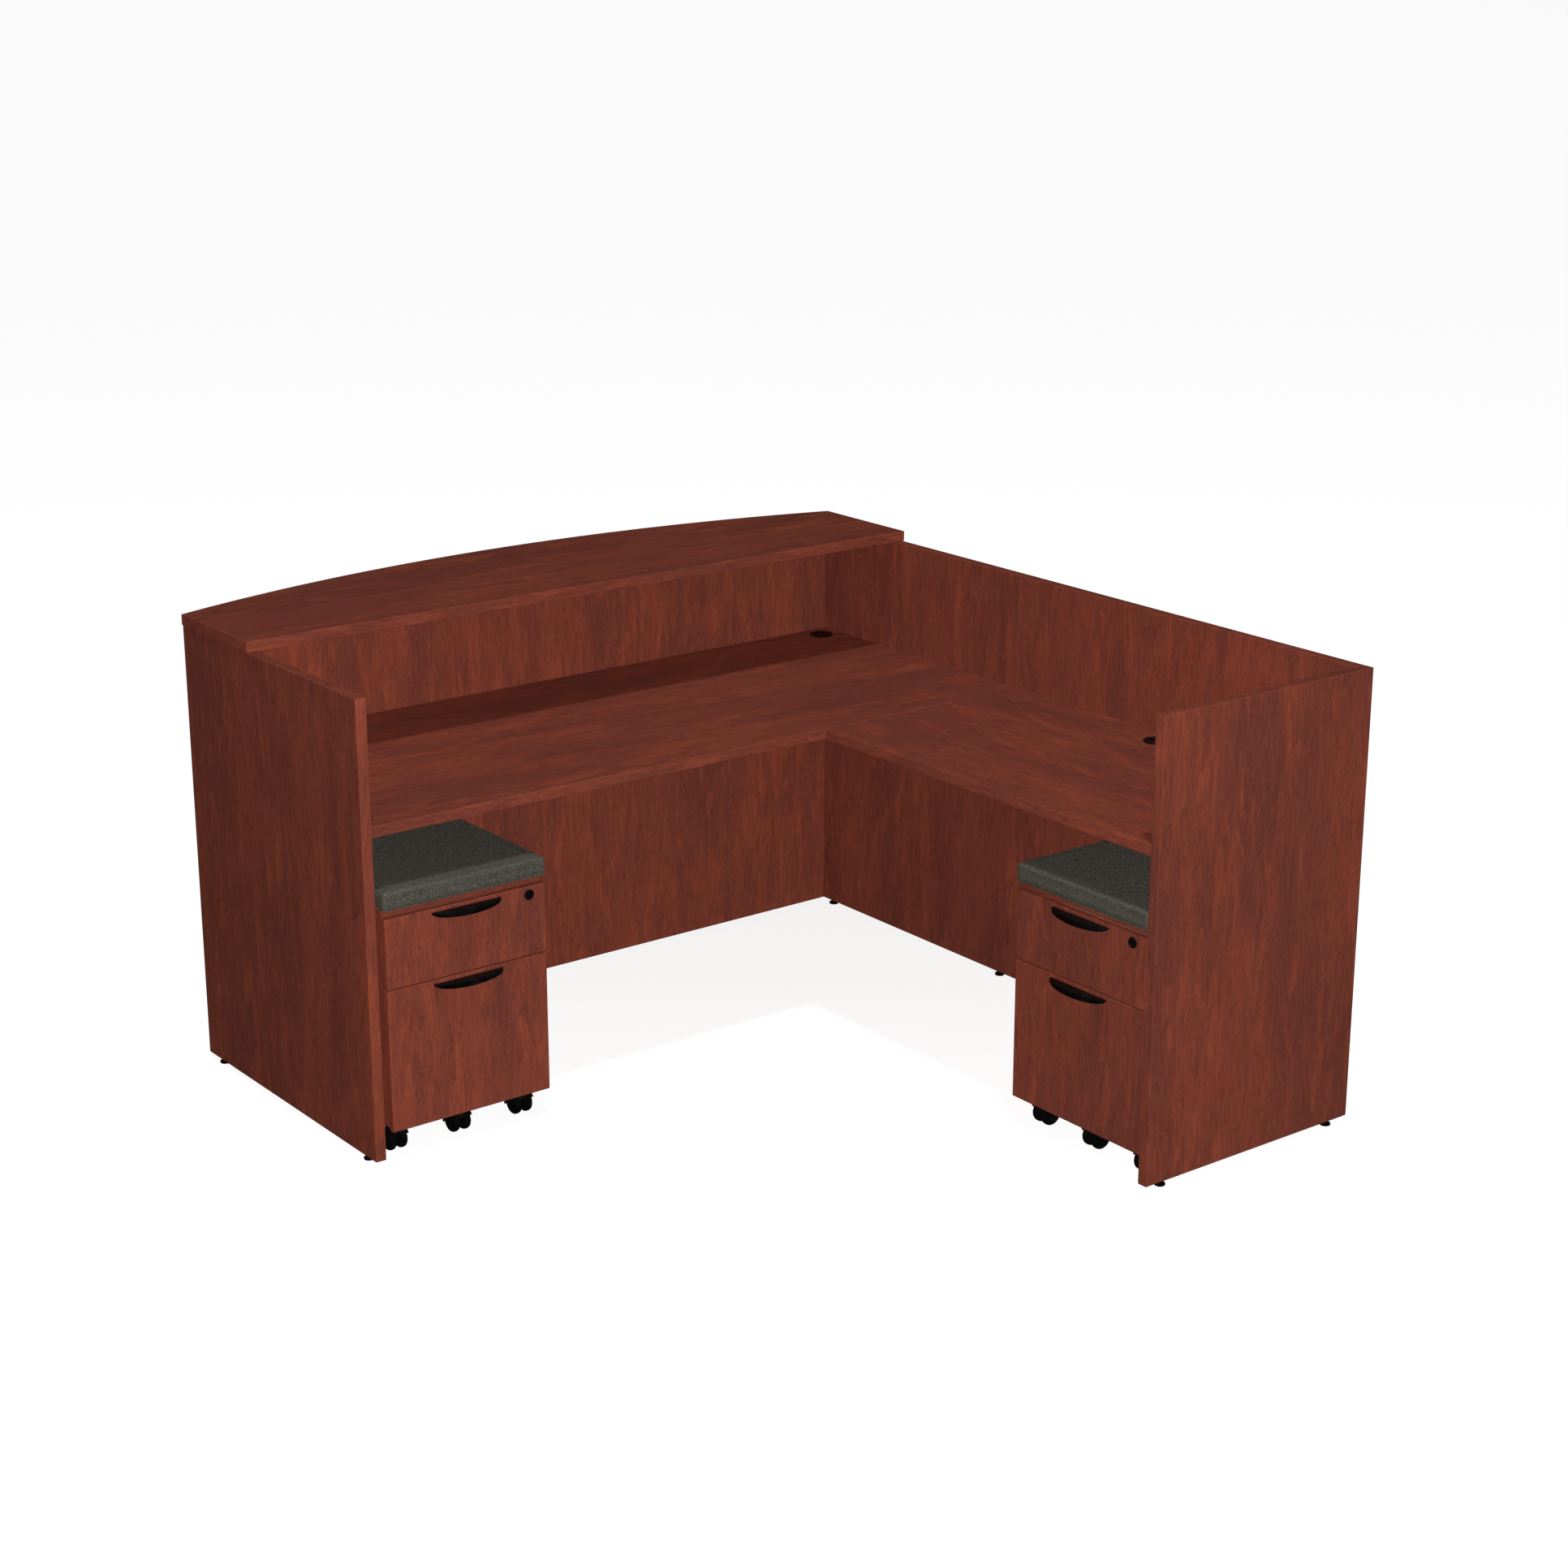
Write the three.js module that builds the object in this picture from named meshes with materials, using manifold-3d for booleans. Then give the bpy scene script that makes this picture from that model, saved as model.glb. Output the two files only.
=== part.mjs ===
// An L-shaped reception desk: a main desk under a bow-fronted transaction counter, a return at
// its right end, and two mobile drawer pedestals with seat cushions and five twin-wheel castors.
// Millimetres, +Z up, +X to the seated clerk's right, +Y towards the visitor.
import * as THREE from "three";
import { mergeVertices } from "three/addons/utils/BufferGeometryUtils.js";
import Module from "manifold-3d";

const wasm = await Module();
wasm.setup();

// ---- Driving dimensions ----
const FIT = 0.3; // gap left between neighbouring pieces
const BOARD = 25; // thickness of every desk board
const WIDTH = 1836; // outside faces of the two end panels
const DEPTH = 779; // main desk, without the bow of the counter
const HEIGHT = 1067; // top of the transaction counter
const WORK_HEIGHT = 764; // top of both worksurfaces
const PANEL_FOOT = 13; // bottom edge of every panel above the floor
const RETURN_LENGTH = 1089; // how far the return runs out from the main desk
const RETURN_DEPTH = 616;
const COUNTER_INNER_Y = 466; // straight clerk-side edge of the counter
const COUNTER_BOW = 147; // rise of the counter's arc over its chord
const COUNTER_LIP = 2; // counter edge beyond each end panel

const FOOT = { radius: 12, pad: 6, stem: 4, drill: 4.3, buried: 26, inset: 53 };
const GROMMET = { flange: 30, sleeve: 25, bore: 22.5, hole: 25.4, drop: 20, setback: 57 };
const GROMMET_RECESS = 1.5; // counterbore in the worksurface that the flange sits down into
const GROMMET_SLOT = { length: 26, width: 12, start: 5 };
const RETURN_GROMMET_Y = -535;

const PEDESTAL = { width: 398, depth: 495, bottom: 70, top: 571 };
const LEFT_PEDESTAL_X = 244;
const RIGHT_PEDESTAL = { frontX: 1232, y: -853 };
const CASE = { board: 18, reveal: 2, base: 74 };
const FRONT = { thickness: 16, split: 394, gap: 3, top: 554 };
const TRAY = { side: 12, floor: 6, slideRoom: 13, back: 455 };
const BOX_TRAY = { bottom: 408, top: 512 };
const FILE_TRAY = { bottom: 97, top: 350 };
const CUSHION = { height: 46.5, overhang: 4, corner: 6, rollIn: 13, rollDown: 9 };
const PULL = { width: 173, reach: 26.5, height: 14.2, wall: 3.5, drop: 8, tip: 2 };
const PULL_STEPS = 16; // points along the lip's lower edge
const LOCK = { head: 12, headDepth: 3, barrel: 9, bore: 9.4, fromSide: 41, drop: 19 };
const CAM = { width: 7, length: 14, thickness: 2.5 };

const WHEEL = { radius: 25, halfTrack: 22, inner: 4, axle: 4 };
const HOOD = { inner: 26.5, outer: 29, web: 3.5, halfWidth: 23, axleBore: 4.5, hub: 9 };
const STEM = { radius: 11, shoulder: 58, trail: 18, top: CASE.base - FIT };
const FRONT_STEM_Y = 86;
const REAR_STEM_Y = 438;
const STEM_SPREAD = 160;
const NOTCH = { width: 120, depth: 150 }; // base cut-out that the drawer's castor travels in
const CASTOR_BLOCK = 54; // block under the file tray that carries the middle castor

const ROUND = 16; // sides of a round piece
const ARC = 24; // sides of the counter's arc

// ---- Materials ----
function material(color, roughness, metalness = 0) {
  return () => new THREE.MeshStandardMaterial({ color, roughness, metalness });
}
const cherryLaminate = material(0x6a3024, 0.45);
const drawerBox = material(0x8a8682, 0.6);
const cushionFabric = material(0x4a4943, 0.95);
const blackPlastic = material(0x0b0b0c, 0.4);
const blackMetal = material(0x121214, 0.35, 0.6);
const tyreRubber = material(0x17171a, 0.7);

// ---- Joining and cutting ----
function solid(geometry) {
  const bare = geometry.clone();
  bare.deleteAttribute("normal");
  bare.deleteAttribute("uv");
  const merged = mergeVertices(bare);
  return new wasm.Manifold(new wasm.Mesh({
    numProp: 3,
    vertProperties: new Float32Array(merged.attributes.position.array),
    triVerts: new Uint32Array(merged.index.array),
  }));
}

function geometryOf(body) {
  const { vertProperties, triVerts } = body.getMesh();
  const geometry = new THREE.BufferGeometry();
  geometry.setAttribute("position", new THREE.BufferAttribute(vertProperties, 3));
  geometry.setIndex(new THREE.BufferAttribute(triVerts, 1));
  geometry.computeVertexNormals();
  return geometry;
}

// ---- Plain shapes ----
function block(x0, x1, y0, y1, z0, z1) {
  const geometry = new THREE.BoxGeometry(x1 - x0, y1 - y0, z1 - z0);
  return geometry.translate((x0 + x1) / 2, (y0 + y1) / 2, (z0 + z1) / 2);
}

// A cylinder along +Z standing on z0.
function post(x, y, z0, z1, radius) {
  const geometry = new THREE.CylinderGeometry(radius, radius, z1 - z0, ROUND);
  return geometry.rotateX(Math.PI / 2).translate(x, y, (z0 + z1) / 2);
}

// A cylinder along +X between x0 and x1.
function barAlongX(x0, x1, y, z, radius) {
  const geometry = new THREE.CylinderGeometry(radius, radius, x1 - x0, ROUND);
  return geometry.rotateZ(Math.PI / 2).translate((x0 + x1) / 2, y, z);
}

// A profile of [radius, z] points turned about +Z.
function turned(points) {
  const profile = points.map(([r, z]) => new THREE.Vector2(r, z));
  return new THREE.LatheGeometry(profile, ROUND).rotateX(Math.PI / 2);
}

function named(name, geometry, makeMaterial) {
  const mesh = new THREE.Mesh(geometry, makeMaterial());
  mesh.name = name;
  return mesh;
}

const desk = new THREE.Group();

// ---- Levelling feet and the panels drilled for them ----
function drilledPanel(name, box, feet) {
  let panel = solid(block(...box));
  for (const [x, y] of feet) {
    const drill = post(x, y, PANEL_FOOT - 1, PANEL_FOOT + FOOT.buried + 1, FOOT.drill);
    panel = panel.subtract(solid(drill));
  }
  desk.add(named(name, geometryOf(panel), cherryLaminate));
}

function addFoot(name, [x, y]) {
  const stemTop = PANEL_FOOT + FOOT.buried;
  const profile = [
    [0, 0],
    [FOOT.radius - 1.5, 0],
    [FOOT.radius, 1.5],
    [FOOT.radius, FOOT.pad - 1.5],
    [FOOT.radius - 3, FOOT.pad],
    [FOOT.stem, FOOT.pad],
    [FOOT.stem, stemTop],
    [0, stemTop],
  ];
  const foot = named(name, turned(profile), blackPlastic);
  foot.position.set(x, y, 0);
  desk.add(foot);
}

const PANEL_TOP = HEIGHT - BOARD - FIT;
const RIGHT_INNER = WIDTH - BOARD;
const leftFeet = [FOOT.inset, DEPTH - FOOT.inset].map((y) => [BOARD / 2, y]);
const rightFeet = [FOOT.inset, DEPTH - FOOT.inset].map((y) => [WIDTH - BOARD / 2, y]);
const returnStart = WIDTH - RETURN_DEPTH;
const returnFeet = [returnStart + FOOT.inset, WIDTH - FOOT.inset].map((x) => [
  x,
  -RETURN_LENGTH + BOARD / 2,
]);

drilledPanel("left_end_panel", [0, BOARD, 0, DEPTH, PANEL_FOOT, PANEL_TOP], leftFeet);
drilledPanel("right_end_panel", [RIGHT_INNER, WIDTH, 0, DEPTH, PANEL_FOOT, PANEL_TOP], rightFeet);
drilledPanel(
  "return_end_panel",
  [returnStart, WIDTH, -RETURN_LENGTH, -RETURN_LENGTH + BOARD, PANEL_FOOT, PANEL_TOP],
  returnFeet,
);
addFoot("foot_left_clerk", leftFeet[0]);
addFoot("foot_left_visitor", leftFeet[1]);
addFoot("foot_right_clerk", rightFeet[0]);
addFoot("foot_right_visitor", rightFeet[1]);
addFoot("foot_return_inner", returnFeet[0]);
addFoot("foot_return_outer", returnFeet[1]);

// ---- Plain panels ----
desk.add(named("front_panel", block(
  BOARD + FIT, RIGHT_INNER - FIT, DEPTH - BOARD, DEPTH, PANEL_FOOT, PANEL_TOP,
), cherryLaminate));
desk.add(named("return_back_panel", block(
  RIGHT_INNER, WIDTH, -RETURN_LENGTH + BOARD + FIT, -FIT, PANEL_FOOT, PANEL_TOP,
), cherryLaminate));

// ---- Transaction counter: straight clerk side, arc on the visitor side ----
function counterOutline() {
  const halfChord = WIDTH / 2 + COUNTER_LIP;
  const radius = (halfChord ** 2 + COUNTER_BOW ** 2) / (2 * COUNTER_BOW);
  const halfAngle = Math.asin(halfChord / radius);
  const outline = new THREE.Shape();
  outline.moveTo(-COUNTER_LIP, COUNTER_INNER_Y);
  outline.lineTo(WIDTH + COUNTER_LIP, COUNTER_INNER_Y);
  outline.absarc(
    WIDTH / 2, DEPTH + COUNTER_BOW - radius, radius,
    Math.PI / 2 - halfAngle, Math.PI / 2 + halfAngle, false,
  );
  outline.closePath();
  return outline;
}
const counter = new THREE.ExtrudeGeometry(counterOutline(), {
  depth: BOARD,
  bevelEnabled: false,
  curveSegments: ARC,
});
counter.translate(0, 0, HEIGHT - BOARD);
desk.add(named("transaction_counter", counter, cherryLaminate));

// ---- Worksurfaces, each bored and counterbored for a cable grommet ----
const mainGrommet = [RIGHT_INNER - GROMMET.setback, DEPTH - BOARD - GROMMET.setback];
const returnGrommet = [RIGHT_INNER - GROMMET.setback, RETURN_GROMMET_Y];

function worksurface(name, [x0, x1, y0, y1], [holeX, holeY]) {
  const top = solid(block(x0, x1, y0, y1, WORK_HEIGHT - BOARD, WORK_HEIGHT));
  const hole = post(holeX, holeY, WORK_HEIGHT - BOARD - 1, WORK_HEIGHT + 1, GROMMET.hole);
  const seatRadius = GROMMET.flange + FIT;
  const seat = post(holeX, holeY, WORK_HEIGHT - GROMMET_RECESS, WORK_HEIGHT + 1, seatRadius);
  const bored = top.subtract(solid(hole)).subtract(solid(seat));
  desk.add(named(name, geometryOf(bored), cherryLaminate));
}
worksurface(
  "main_worksurface",
  [BOARD + FIT, RIGHT_INNER - FIT, 0, DEPTH - BOARD - FIT],
  mainGrommet,
);
worksurface(
  "return_worksurface",
  [returnStart, RIGHT_INNER - FIT, -RETURN_LENGTH + BOARD + FIT, -FIT],
  returnGrommet,
);

// A flanged sleeve closed by a cap with a cable slot.
function addGrommet(name, [x, y]) {
  const flangeBottom = FIT - GROMMET_RECESS;
  const profile = [
    [0, 1],
    [GROMMET.bore, 1],
    [GROMMET.bore, -GROMMET.drop],
    [GROMMET.sleeve, -GROMMET.drop],
    [GROMMET.sleeve, flangeBottom],
    [GROMMET.flange, flangeBottom],
    [GROMMET.flange, 1.6],
    [GROMMET.flange - 1.6, 3],
    [0, 3],
  ];
  const slotEnd = GROMMET_SLOT.start + GROMMET_SLOT.width;
  const halfSlot = GROMMET_SLOT.length / 2;
  const slot = block(-halfSlot, halfSlot, GROMMET_SLOT.start, slotEnd, -5, 5);
  const cap = solid(turned(profile)).subtract(solid(slot));
  const grommet = named(name, geometryOf(cap), blackPlastic);
  grommet.position.set(x, y, WORK_HEIGHT);
  desk.add(grommet);
}
addGrommet("main_grommet", mainGrommet);
addGrommet("return_grommet", returnGrommet);

// ---- Castor: a hooded swivel over twin wheels that share one axle ----
function ringSector(inner, outer, from, to) {
  const sector = new THREE.Shape();
  sector.absarc(0, 0, outer, from, to, false);
  sector.absarc(0, 0, inner, to, from, true);
  sector.closePath();
  return sector;
}

// Extrudes an outline drawn in (y, z) about the axle, centred on x = 0.
function acrossAxle(outline, halfWidth) {
  const geometry = new THREE.ExtrudeGeometry(outline, {
    depth: 2 * halfWidth,
    bevelEnabled: false,
    curveSegments: 8,
  });
  geometry.rotateY(Math.PI / 2).rotateX(Math.PI / 2);
  return geometry.translate(-halfWidth, -STEM.trail, WHEEL.radius);
}

function hoodGeometry() {
  const from = THREE.MathUtils.degToRad(-20);
  const to = THREE.MathUtils.degToRad(150);
  const axleY = -STEM.trail;
  const axleZ = WHEEL.radius;
  const fender = solid(acrossAxle(ringSector(HOOD.inner, HOOD.outer, from, to), HOOD.halfWidth));
  const web = solid(acrossAxle(ringSector(1, HOOD.inner + 1, from, to), HOOD.web));
  const hub = solid(barAlongX(-HOOD.web, HOOD.web, axleY, axleZ, HOOD.hub));
  const shoulder = solid(block(
    -STEM.radius, STEM.radius, -STEM.radius, STEM.radius, axleZ + 8, STEM.shoulder,
  ));
  const wheelRoom = solid(barAlongX(-40, 40, axleY, axleZ, HOOD.inner));
  const neck = solid(post(0, 0, STEM.shoulder - 1, STEM.top, STEM.radius - 2));
  const axleBore = solid(barAlongX(-5, 5, axleY, axleZ, HOOD.axleBore));
  const shell = shoulder.subtract(wheelRoom).add(fender).add(neck);
  return geometryOf(shell.add(web).add(hub).subtract(axleBore));
}

function wheelGeometry() {
  const rim = WHEEL.radius;
  const profile = [
    [0, -WHEEL.halfTrack],
    [rim - 2.5, -WHEEL.halfTrack],
    [rim, -WHEEL.halfTrack + 2.5],
    [rim, -WHEEL.inner],
    [WHEEL.axle, -WHEEL.inner],
    [WHEEL.axle, WHEEL.inner],
    [rim, WHEEL.inner],
    [rim, WHEEL.halfTrack - 2.5],
    [rim - 2.5, WHEEL.halfTrack],
    [0, WHEEL.halfTrack],
  ];
  return turned(profile).rotateY(Math.PI / 2).translate(0, -STEM.trail, WHEEL.radius);
}

// ---- Pull: a crescent ledge with a lip that fingers hook from below ----
function halfEllipse(halfWidth, reach) {
  const outline = new THREE.Shape();
  outline.moveTo(halfWidth, 0);
  outline.absellipse(0, 0, halfWidth, reach, 0, -Math.PI, true, 0);
  outline.closePath();
  return outline;
}

function halfPrism(halfWidth, reach, z0, z1) {
  const geometry = new THREE.ExtrudeGeometry(halfEllipse(halfWidth, reach), {
    depth: z1 - z0,
    bevelEnabled: false,
    curveSegments: 14,
  });
  return geometry.translate(0, 0, z0);
}

// The lip is deepest at the middle and thins to the tips.
function lipProfile() {
  const half = PULL.width / 2;
  const outline = new THREE.Shape();
  outline.moveTo(half, 1);
  for (let step = 0; step <= PULL_STEPS; step += 1) {
    const angle = (Math.PI * step) / PULL_STEPS;
    const swell = Math.max(0, Math.sin(angle)) ** 0.75;
    outline.lineTo(half * Math.cos(angle), -PULL.tip - (PULL.height - PULL.tip) * swell);
  }
  outline.lineTo(-half, 1);
  outline.closePath();
  const depth = PULL.reach + 1;
  return new THREE.ExtrudeGeometry(outline, { depth, bevelEnabled: false }).rotateX(Math.PI / 2);
}

function pullGeometry() {
  const half = PULL.width / 2;
  const ledge = solid(halfPrism(half, PULL.reach, -PULL.height, 0));
  const body = ledge.intersect(solid(lipProfile()));
  const hollow = halfPrism(half - PULL.wall, PULL.reach - PULL.wall, -PULL.height - 1, -PULL.wall);
  const behind = block(-half, half, -1, 1, -PULL.height - 1, 1);
  return geometryOf(body.subtract(solid(hollow)).subtract(solid(behind)));
}

// ---- Lock: a cam cylinder through the box drawer's front ----
function lockGeometry() {
  const through = FRONT.thickness + 4;
  const profile = [
    [0, -through],
    [LOCK.barrel, -through],
    [LOCK.barrel, FIT],
    [LOCK.head, FIT],
    [LOCK.head, LOCK.headDepth - 1],
    [LOCK.head - 1, LOCK.headDepth],
    [0, LOCK.headDepth],
  ];
  const barrel = turned(profile).rotateX(Math.PI / 2);
  const cam = block(-CAM.length, 0, through - CAM.thickness, through, -CAM.width / 2, CAM.width / 2);
  return geometryOf(solid(barrel).add(solid(cam)));
}

// ---- Seat cushion: a block with rounded upright corners and softened edges ----
function cushionRing(halfWidth, depth, inset, z) {
  const radius = Math.max(CUSHION.corner - inset, 1.5);
  const x = halfWidth - inset - radius;
  const y0 = inset + radius;
  const y1 = depth - inset - radius;
  const centres = [[x, y1], [-x, y1], [-x, y0], [x, y0]];
  return centres.flatMap(([cx, cy], quarter) => [0, 1, 2].map((step) => {
    const angle = (Math.PI * (2 * quarter + step)) / 4;
    return [cx + radius * Math.cos(angle), cy + radius * Math.sin(angle), z];
  }));
}

// Upright sides, and a top edge that rolls over to the flat crest.
function cushionGeometry(halfWidth, depth) {
  const { height, rollIn, rollDown } = CUSHION;
  const levels = [
    [0, 0],
    [0, height - rollDown],
    [0.3 * rollIn, height - 0.35 * rollDown],
    [rollIn, height],
  ];
  const points = levels.flatMap(([inset, z]) => cushionRing(halfWidth, depth, inset, z));
  return geometryOf(wasm.Manifold.hull(points));
}

// ---- Pedestal: built facing -Y with its front plane on y = 0 and its centre on x = 0 ----
function makePedestal(side) {
  const pedestal = new THREE.Group();
  const halfFront = PEDESTAL.width / 2;
  const halfCase = halfFront - CASE.reveal;
  const caseFront = FRONT.thickness + 2 * FIT;
  const inside = halfCase - CASE.board;
  const underTop = PEDESTAL.top - CASE.board;

  function add(name, geometry, makeMaterial) {
    const mesh = named(`${side}_${name}`, geometry, makeMaterial);
    pedestal.add(mesh);
    return mesh;
  }

  function addCase() {
    const end = PEDESTAL.depth;
    add("case_side_left", block(
      -halfCase, -inside, caseFront, end, CASE.base, underTop - FIT,
    ), cherryLaminate);
    add("case_side_right", block(
      inside, halfCase, caseFront, end, CASE.base, underTop - FIT,
    ), cherryLaminate);
    add("case_top", block(
      -halfCase, halfCase, caseFront, end, underTop, PEDESTAL.top,
    ), cherryLaminate);
    const width = inside - FIT;
    const base = solid(block(-width, width, caseFront, end, CASE.base, CASE.base + CASE.board));
    const back = solid(block(-width, width, end - CASE.board, end, CASE.base, underTop - FIT));
    const notch = solid(block(
      -NOTCH.width / 2, NOTCH.width / 2, 0, NOTCH.depth, CASE.base - 1, CASE.base + CASE.board + 1,
    ));
    add("case_back_and_base", geometryOf(base.add(back).subtract(notch)), cherryLaminate);
  }

  function addCushion() {
    const halfWidth = halfFront + CUSHION.overhang;
    const depth = PEDESTAL.depth + CUSHION.overhang + 2;
    const cushion = add("seat_cushion", cushionGeometry(halfWidth, depth), cushionFabric);
    cushion.position.set(0, -CUSHION.overhang - 2, PEDESTAL.top + FIT);
  }

  // An open-topped tray; `foot` hangs a block under its floor where there is one.
  function trayGeometry(bottom, top, foot) {
    const half = inside - TRAY.slideRoom;
    const front = FRONT.thickness + FIT;
    const outer = solid(block(-half, half, front, TRAY.back, bottom, top));
    const hollow = solid(block(
      -half + TRAY.side, half - TRAY.side, front + TRAY.side, TRAY.back - TRAY.side,
      bottom + TRAY.floor, top + 1,
    ));
    const tray = outer.subtract(hollow);
    return geometryOf(foot ? tray.add(foot) : tray);
  }

  function addPull(name, top) {
    const pull = add(name, pullGeometry(), blackPlastic);
    pull.position.set(0, 1 - FIT, top - PULL.drop);
  }

  function addBoxDrawer() {
    const bottom = FRONT.split + FRONT.gap / 2;
    const lockX = halfFront - LOCK.fromSide;
    const lockZ = FRONT.top - LOCK.drop;
    const bore = new THREE.CylinderGeometry(LOCK.bore, LOCK.bore, 3 * FRONT.thickness, ROUND);
    bore.translate(lockX, 0, lockZ);
    const face = solid(block(-halfFront, halfFront, 0, FRONT.thickness, bottom, FRONT.top));
    add("box_drawer_front", geometryOf(face.subtract(solid(bore))), cherryLaminate);
    add("box_drawer_tray", trayGeometry(BOX_TRAY.bottom, BOX_TRAY.top), drawerBox);
    addPull("box_drawer_pull", FRONT.top);
    const lock = add("lock_cylinder", lockGeometry(), blackMetal);
    lock.position.set(lockX, 0, lockZ);
  }

  function addFileDrawer() {
    const top = FRONT.split - FRONT.gap / 2;
    const half = CASTOR_BLOCK / 2;
    const foot = solid(block(
      -half, half, FRONT_STEM_Y - half, FRONT_STEM_Y + half, CASE.base, FILE_TRAY.bottom + 1,
    ));
    add("file_drawer_front", block(
      -halfFront, halfFront, 0, FRONT.thickness, PEDESTAL.bottom, top,
    ), cherryLaminate);
    add("file_drawer_tray", trayGeometry(FILE_TRAY.bottom, FILE_TRAY.top, foot), drawerBox);
    addPull("file_drawer_pull", top);
  }

  function addCastor(place, x, y) {
    add(`castor_${place}_hood`, hoodGeometry(), blackPlastic).position.set(x, y, 0);
    add(`castor_${place}_wheels`, wheelGeometry(), tyreRubber).position.set(x, y, 0);
  }

  addCase();
  addCushion();
  addBoxDrawer();
  addFileDrawer();
  addCastor("front_left", -STEM_SPREAD, FRONT_STEM_Y);
  addCastor("front_middle", 0, FRONT_STEM_Y);
  addCastor("front_right", STEM_SPREAD, FRONT_STEM_Y);
  addCastor("rear_left", -STEM_SPREAD, REAR_STEM_Y);
  addCastor("rear_right", STEM_SPREAD, REAR_STEM_Y);
  return pedestal;
}

const leftPedestal = makePedestal("left");
leftPedestal.position.set(LEFT_PEDESTAL_X, 0, 0);
desk.add(leftPedestal);

const rightPedestal = makePedestal("right");
rightPedestal.rotation.z = -Math.PI / 2;
rightPedestal.position.set(RIGHT_PEDESTAL.frontX, RIGHT_PEDESTAL.y, 0);
desk.add(rightPedestal);

// The origin is the middle of the overall footprint, on the floor.
desk.position.set(-WIDTH / 2, (RETURN_LENGTH - DEPTH - COUNTER_BOW) / 2, 0);

const group = new THREE.Group();
group.add(desk);

export default group;
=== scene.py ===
# An L-shaped reception desk with a raised counter, and two mobile drawer pedestals with cushions.
# Metres, +Z up; +X is to the seated clerk's right, +Y is towards the visitor.
import math

import bmesh
import bpy
import mathutils
import numpy as np
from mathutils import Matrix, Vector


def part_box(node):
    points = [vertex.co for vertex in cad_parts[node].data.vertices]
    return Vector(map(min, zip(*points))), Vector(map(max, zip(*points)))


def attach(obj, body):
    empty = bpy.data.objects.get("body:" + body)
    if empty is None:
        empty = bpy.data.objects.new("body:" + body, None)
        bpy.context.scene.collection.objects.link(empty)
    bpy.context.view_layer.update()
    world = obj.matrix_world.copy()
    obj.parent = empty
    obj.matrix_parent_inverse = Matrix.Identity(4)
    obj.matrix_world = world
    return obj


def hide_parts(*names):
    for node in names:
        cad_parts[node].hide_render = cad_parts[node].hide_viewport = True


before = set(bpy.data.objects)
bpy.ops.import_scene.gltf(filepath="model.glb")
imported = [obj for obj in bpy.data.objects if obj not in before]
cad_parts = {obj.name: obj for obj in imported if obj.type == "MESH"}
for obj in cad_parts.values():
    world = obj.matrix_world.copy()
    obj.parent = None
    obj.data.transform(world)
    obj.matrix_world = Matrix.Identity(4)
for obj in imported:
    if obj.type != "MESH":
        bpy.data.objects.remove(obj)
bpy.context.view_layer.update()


# ---- Levelling feet -------------------------------------------------------------------------
# Six moulded black feet, each a disc on a threaded stud that screws up into the panel's bottom
# edge. The disc's rim is rounded, and a small collar stands on it round the stud.

def corners_of(node):
    """A CAD node's lowest and highest corners."""
    return tuple(np.array(corner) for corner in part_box(node))


def joined_quads(rings, around=False):
    """Quads between neighbouring points of rings[row, column]; every ring closes on itself, and
    with around=True the last ring joins the first, so that the surface is a closed tube."""
    rows, columns = rings.shape[:2]
    i, j = np.meshgrid(np.arange(rows if around else rows - 1), np.arange(columns), indexing="ij")
    above, beside = (i + 1) % rows, (j + 1) % columns
    corners = [i * columns + j, i * columns + beside, above * columns + beside, above * columns + j]
    return np.stack(corners, axis=-1).reshape(-1, 4).tolist()


def shell(rings, around=False):
    """Points and faces of one closed surface: the rings' quads, and a flat face over the first
    and the last ring unless the rings run around."""
    rings = np.asarray(rings, float)
    faces = joined_quads(rings, around)
    if not around:
        columns = rings.shape[1]
        last = (rings.shape[0] - 1) * columns
        faces.append(list(range(columns))[::-1])
        faces.append(list(range(last, last + columns)))
    return rings.reshape(-1, 3), faces


def together(*shells):
    """Several closed surfaces as one: the points in one list, each face list shifted to match."""
    starts = np.cumsum([0] + [len(points) for points, _ in shells[:-1]])
    points = np.concatenate([points for points, _ in shells])
    faces = [[int(start) + v for v in face] for start, (_, fs) in zip(starts, shells) for face in fs]
    return points, faces


SAME_POINT = 1e-6


def add_piece(name, surface, finish, body, stands_for=(), place=None, marks=None, crease=35):
    """Puts one closed surface into a mesh, with its normals out, smooth up to the crease angle,
    and gives it its point marks, finish, body, material slot and CAD nodes. place turns its
    points into the row frame where the surface is drawn in another."""
    points, faces = surface
    if place is not None:
        points = place(points)
    mesh = bpy.data.meshes.new(name)
    mesh.from_pydata(np.asarray(points, float).tolist(), [], faces)
    for mark, values in (marks or {}).items():
        values = np.asarray(values, np.float32)
        kind = "FLOAT_VECTOR" if values.ndim == 2 else "FLOAT"
        channel = mesh.attributes.new(mark, kind, "POINT")
        channel.data.foreach_set("vector" if values.ndim == 2 else "value", values.ravel())
    work = bmesh.new()
    work.from_mesh(mesh)
    bmesh.ops.remove_doubles(work, verts=work.verts, dist=SAME_POINT)
    bmesh.ops.recalc_face_normals(work, faces=work.faces)
    work.to_mesh(mesh)
    work.free()
    mesh.shade_smooth()
    mesh.set_sharp_from_angle(angle=math.radians(crease))
    piece = bpy.data.objects.new(name, mesh)
    bpy.context.scene.collection.objects.link(piece)
    mesh.materials.append(finish)
    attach(piece, body)
    if stands_for:
        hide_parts(*stands_for)
    return piece


def even_angles(sides):
    """So many angles evenly spread round a circle."""
    return 2 * np.pi * np.arange(sides) / sides


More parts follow.
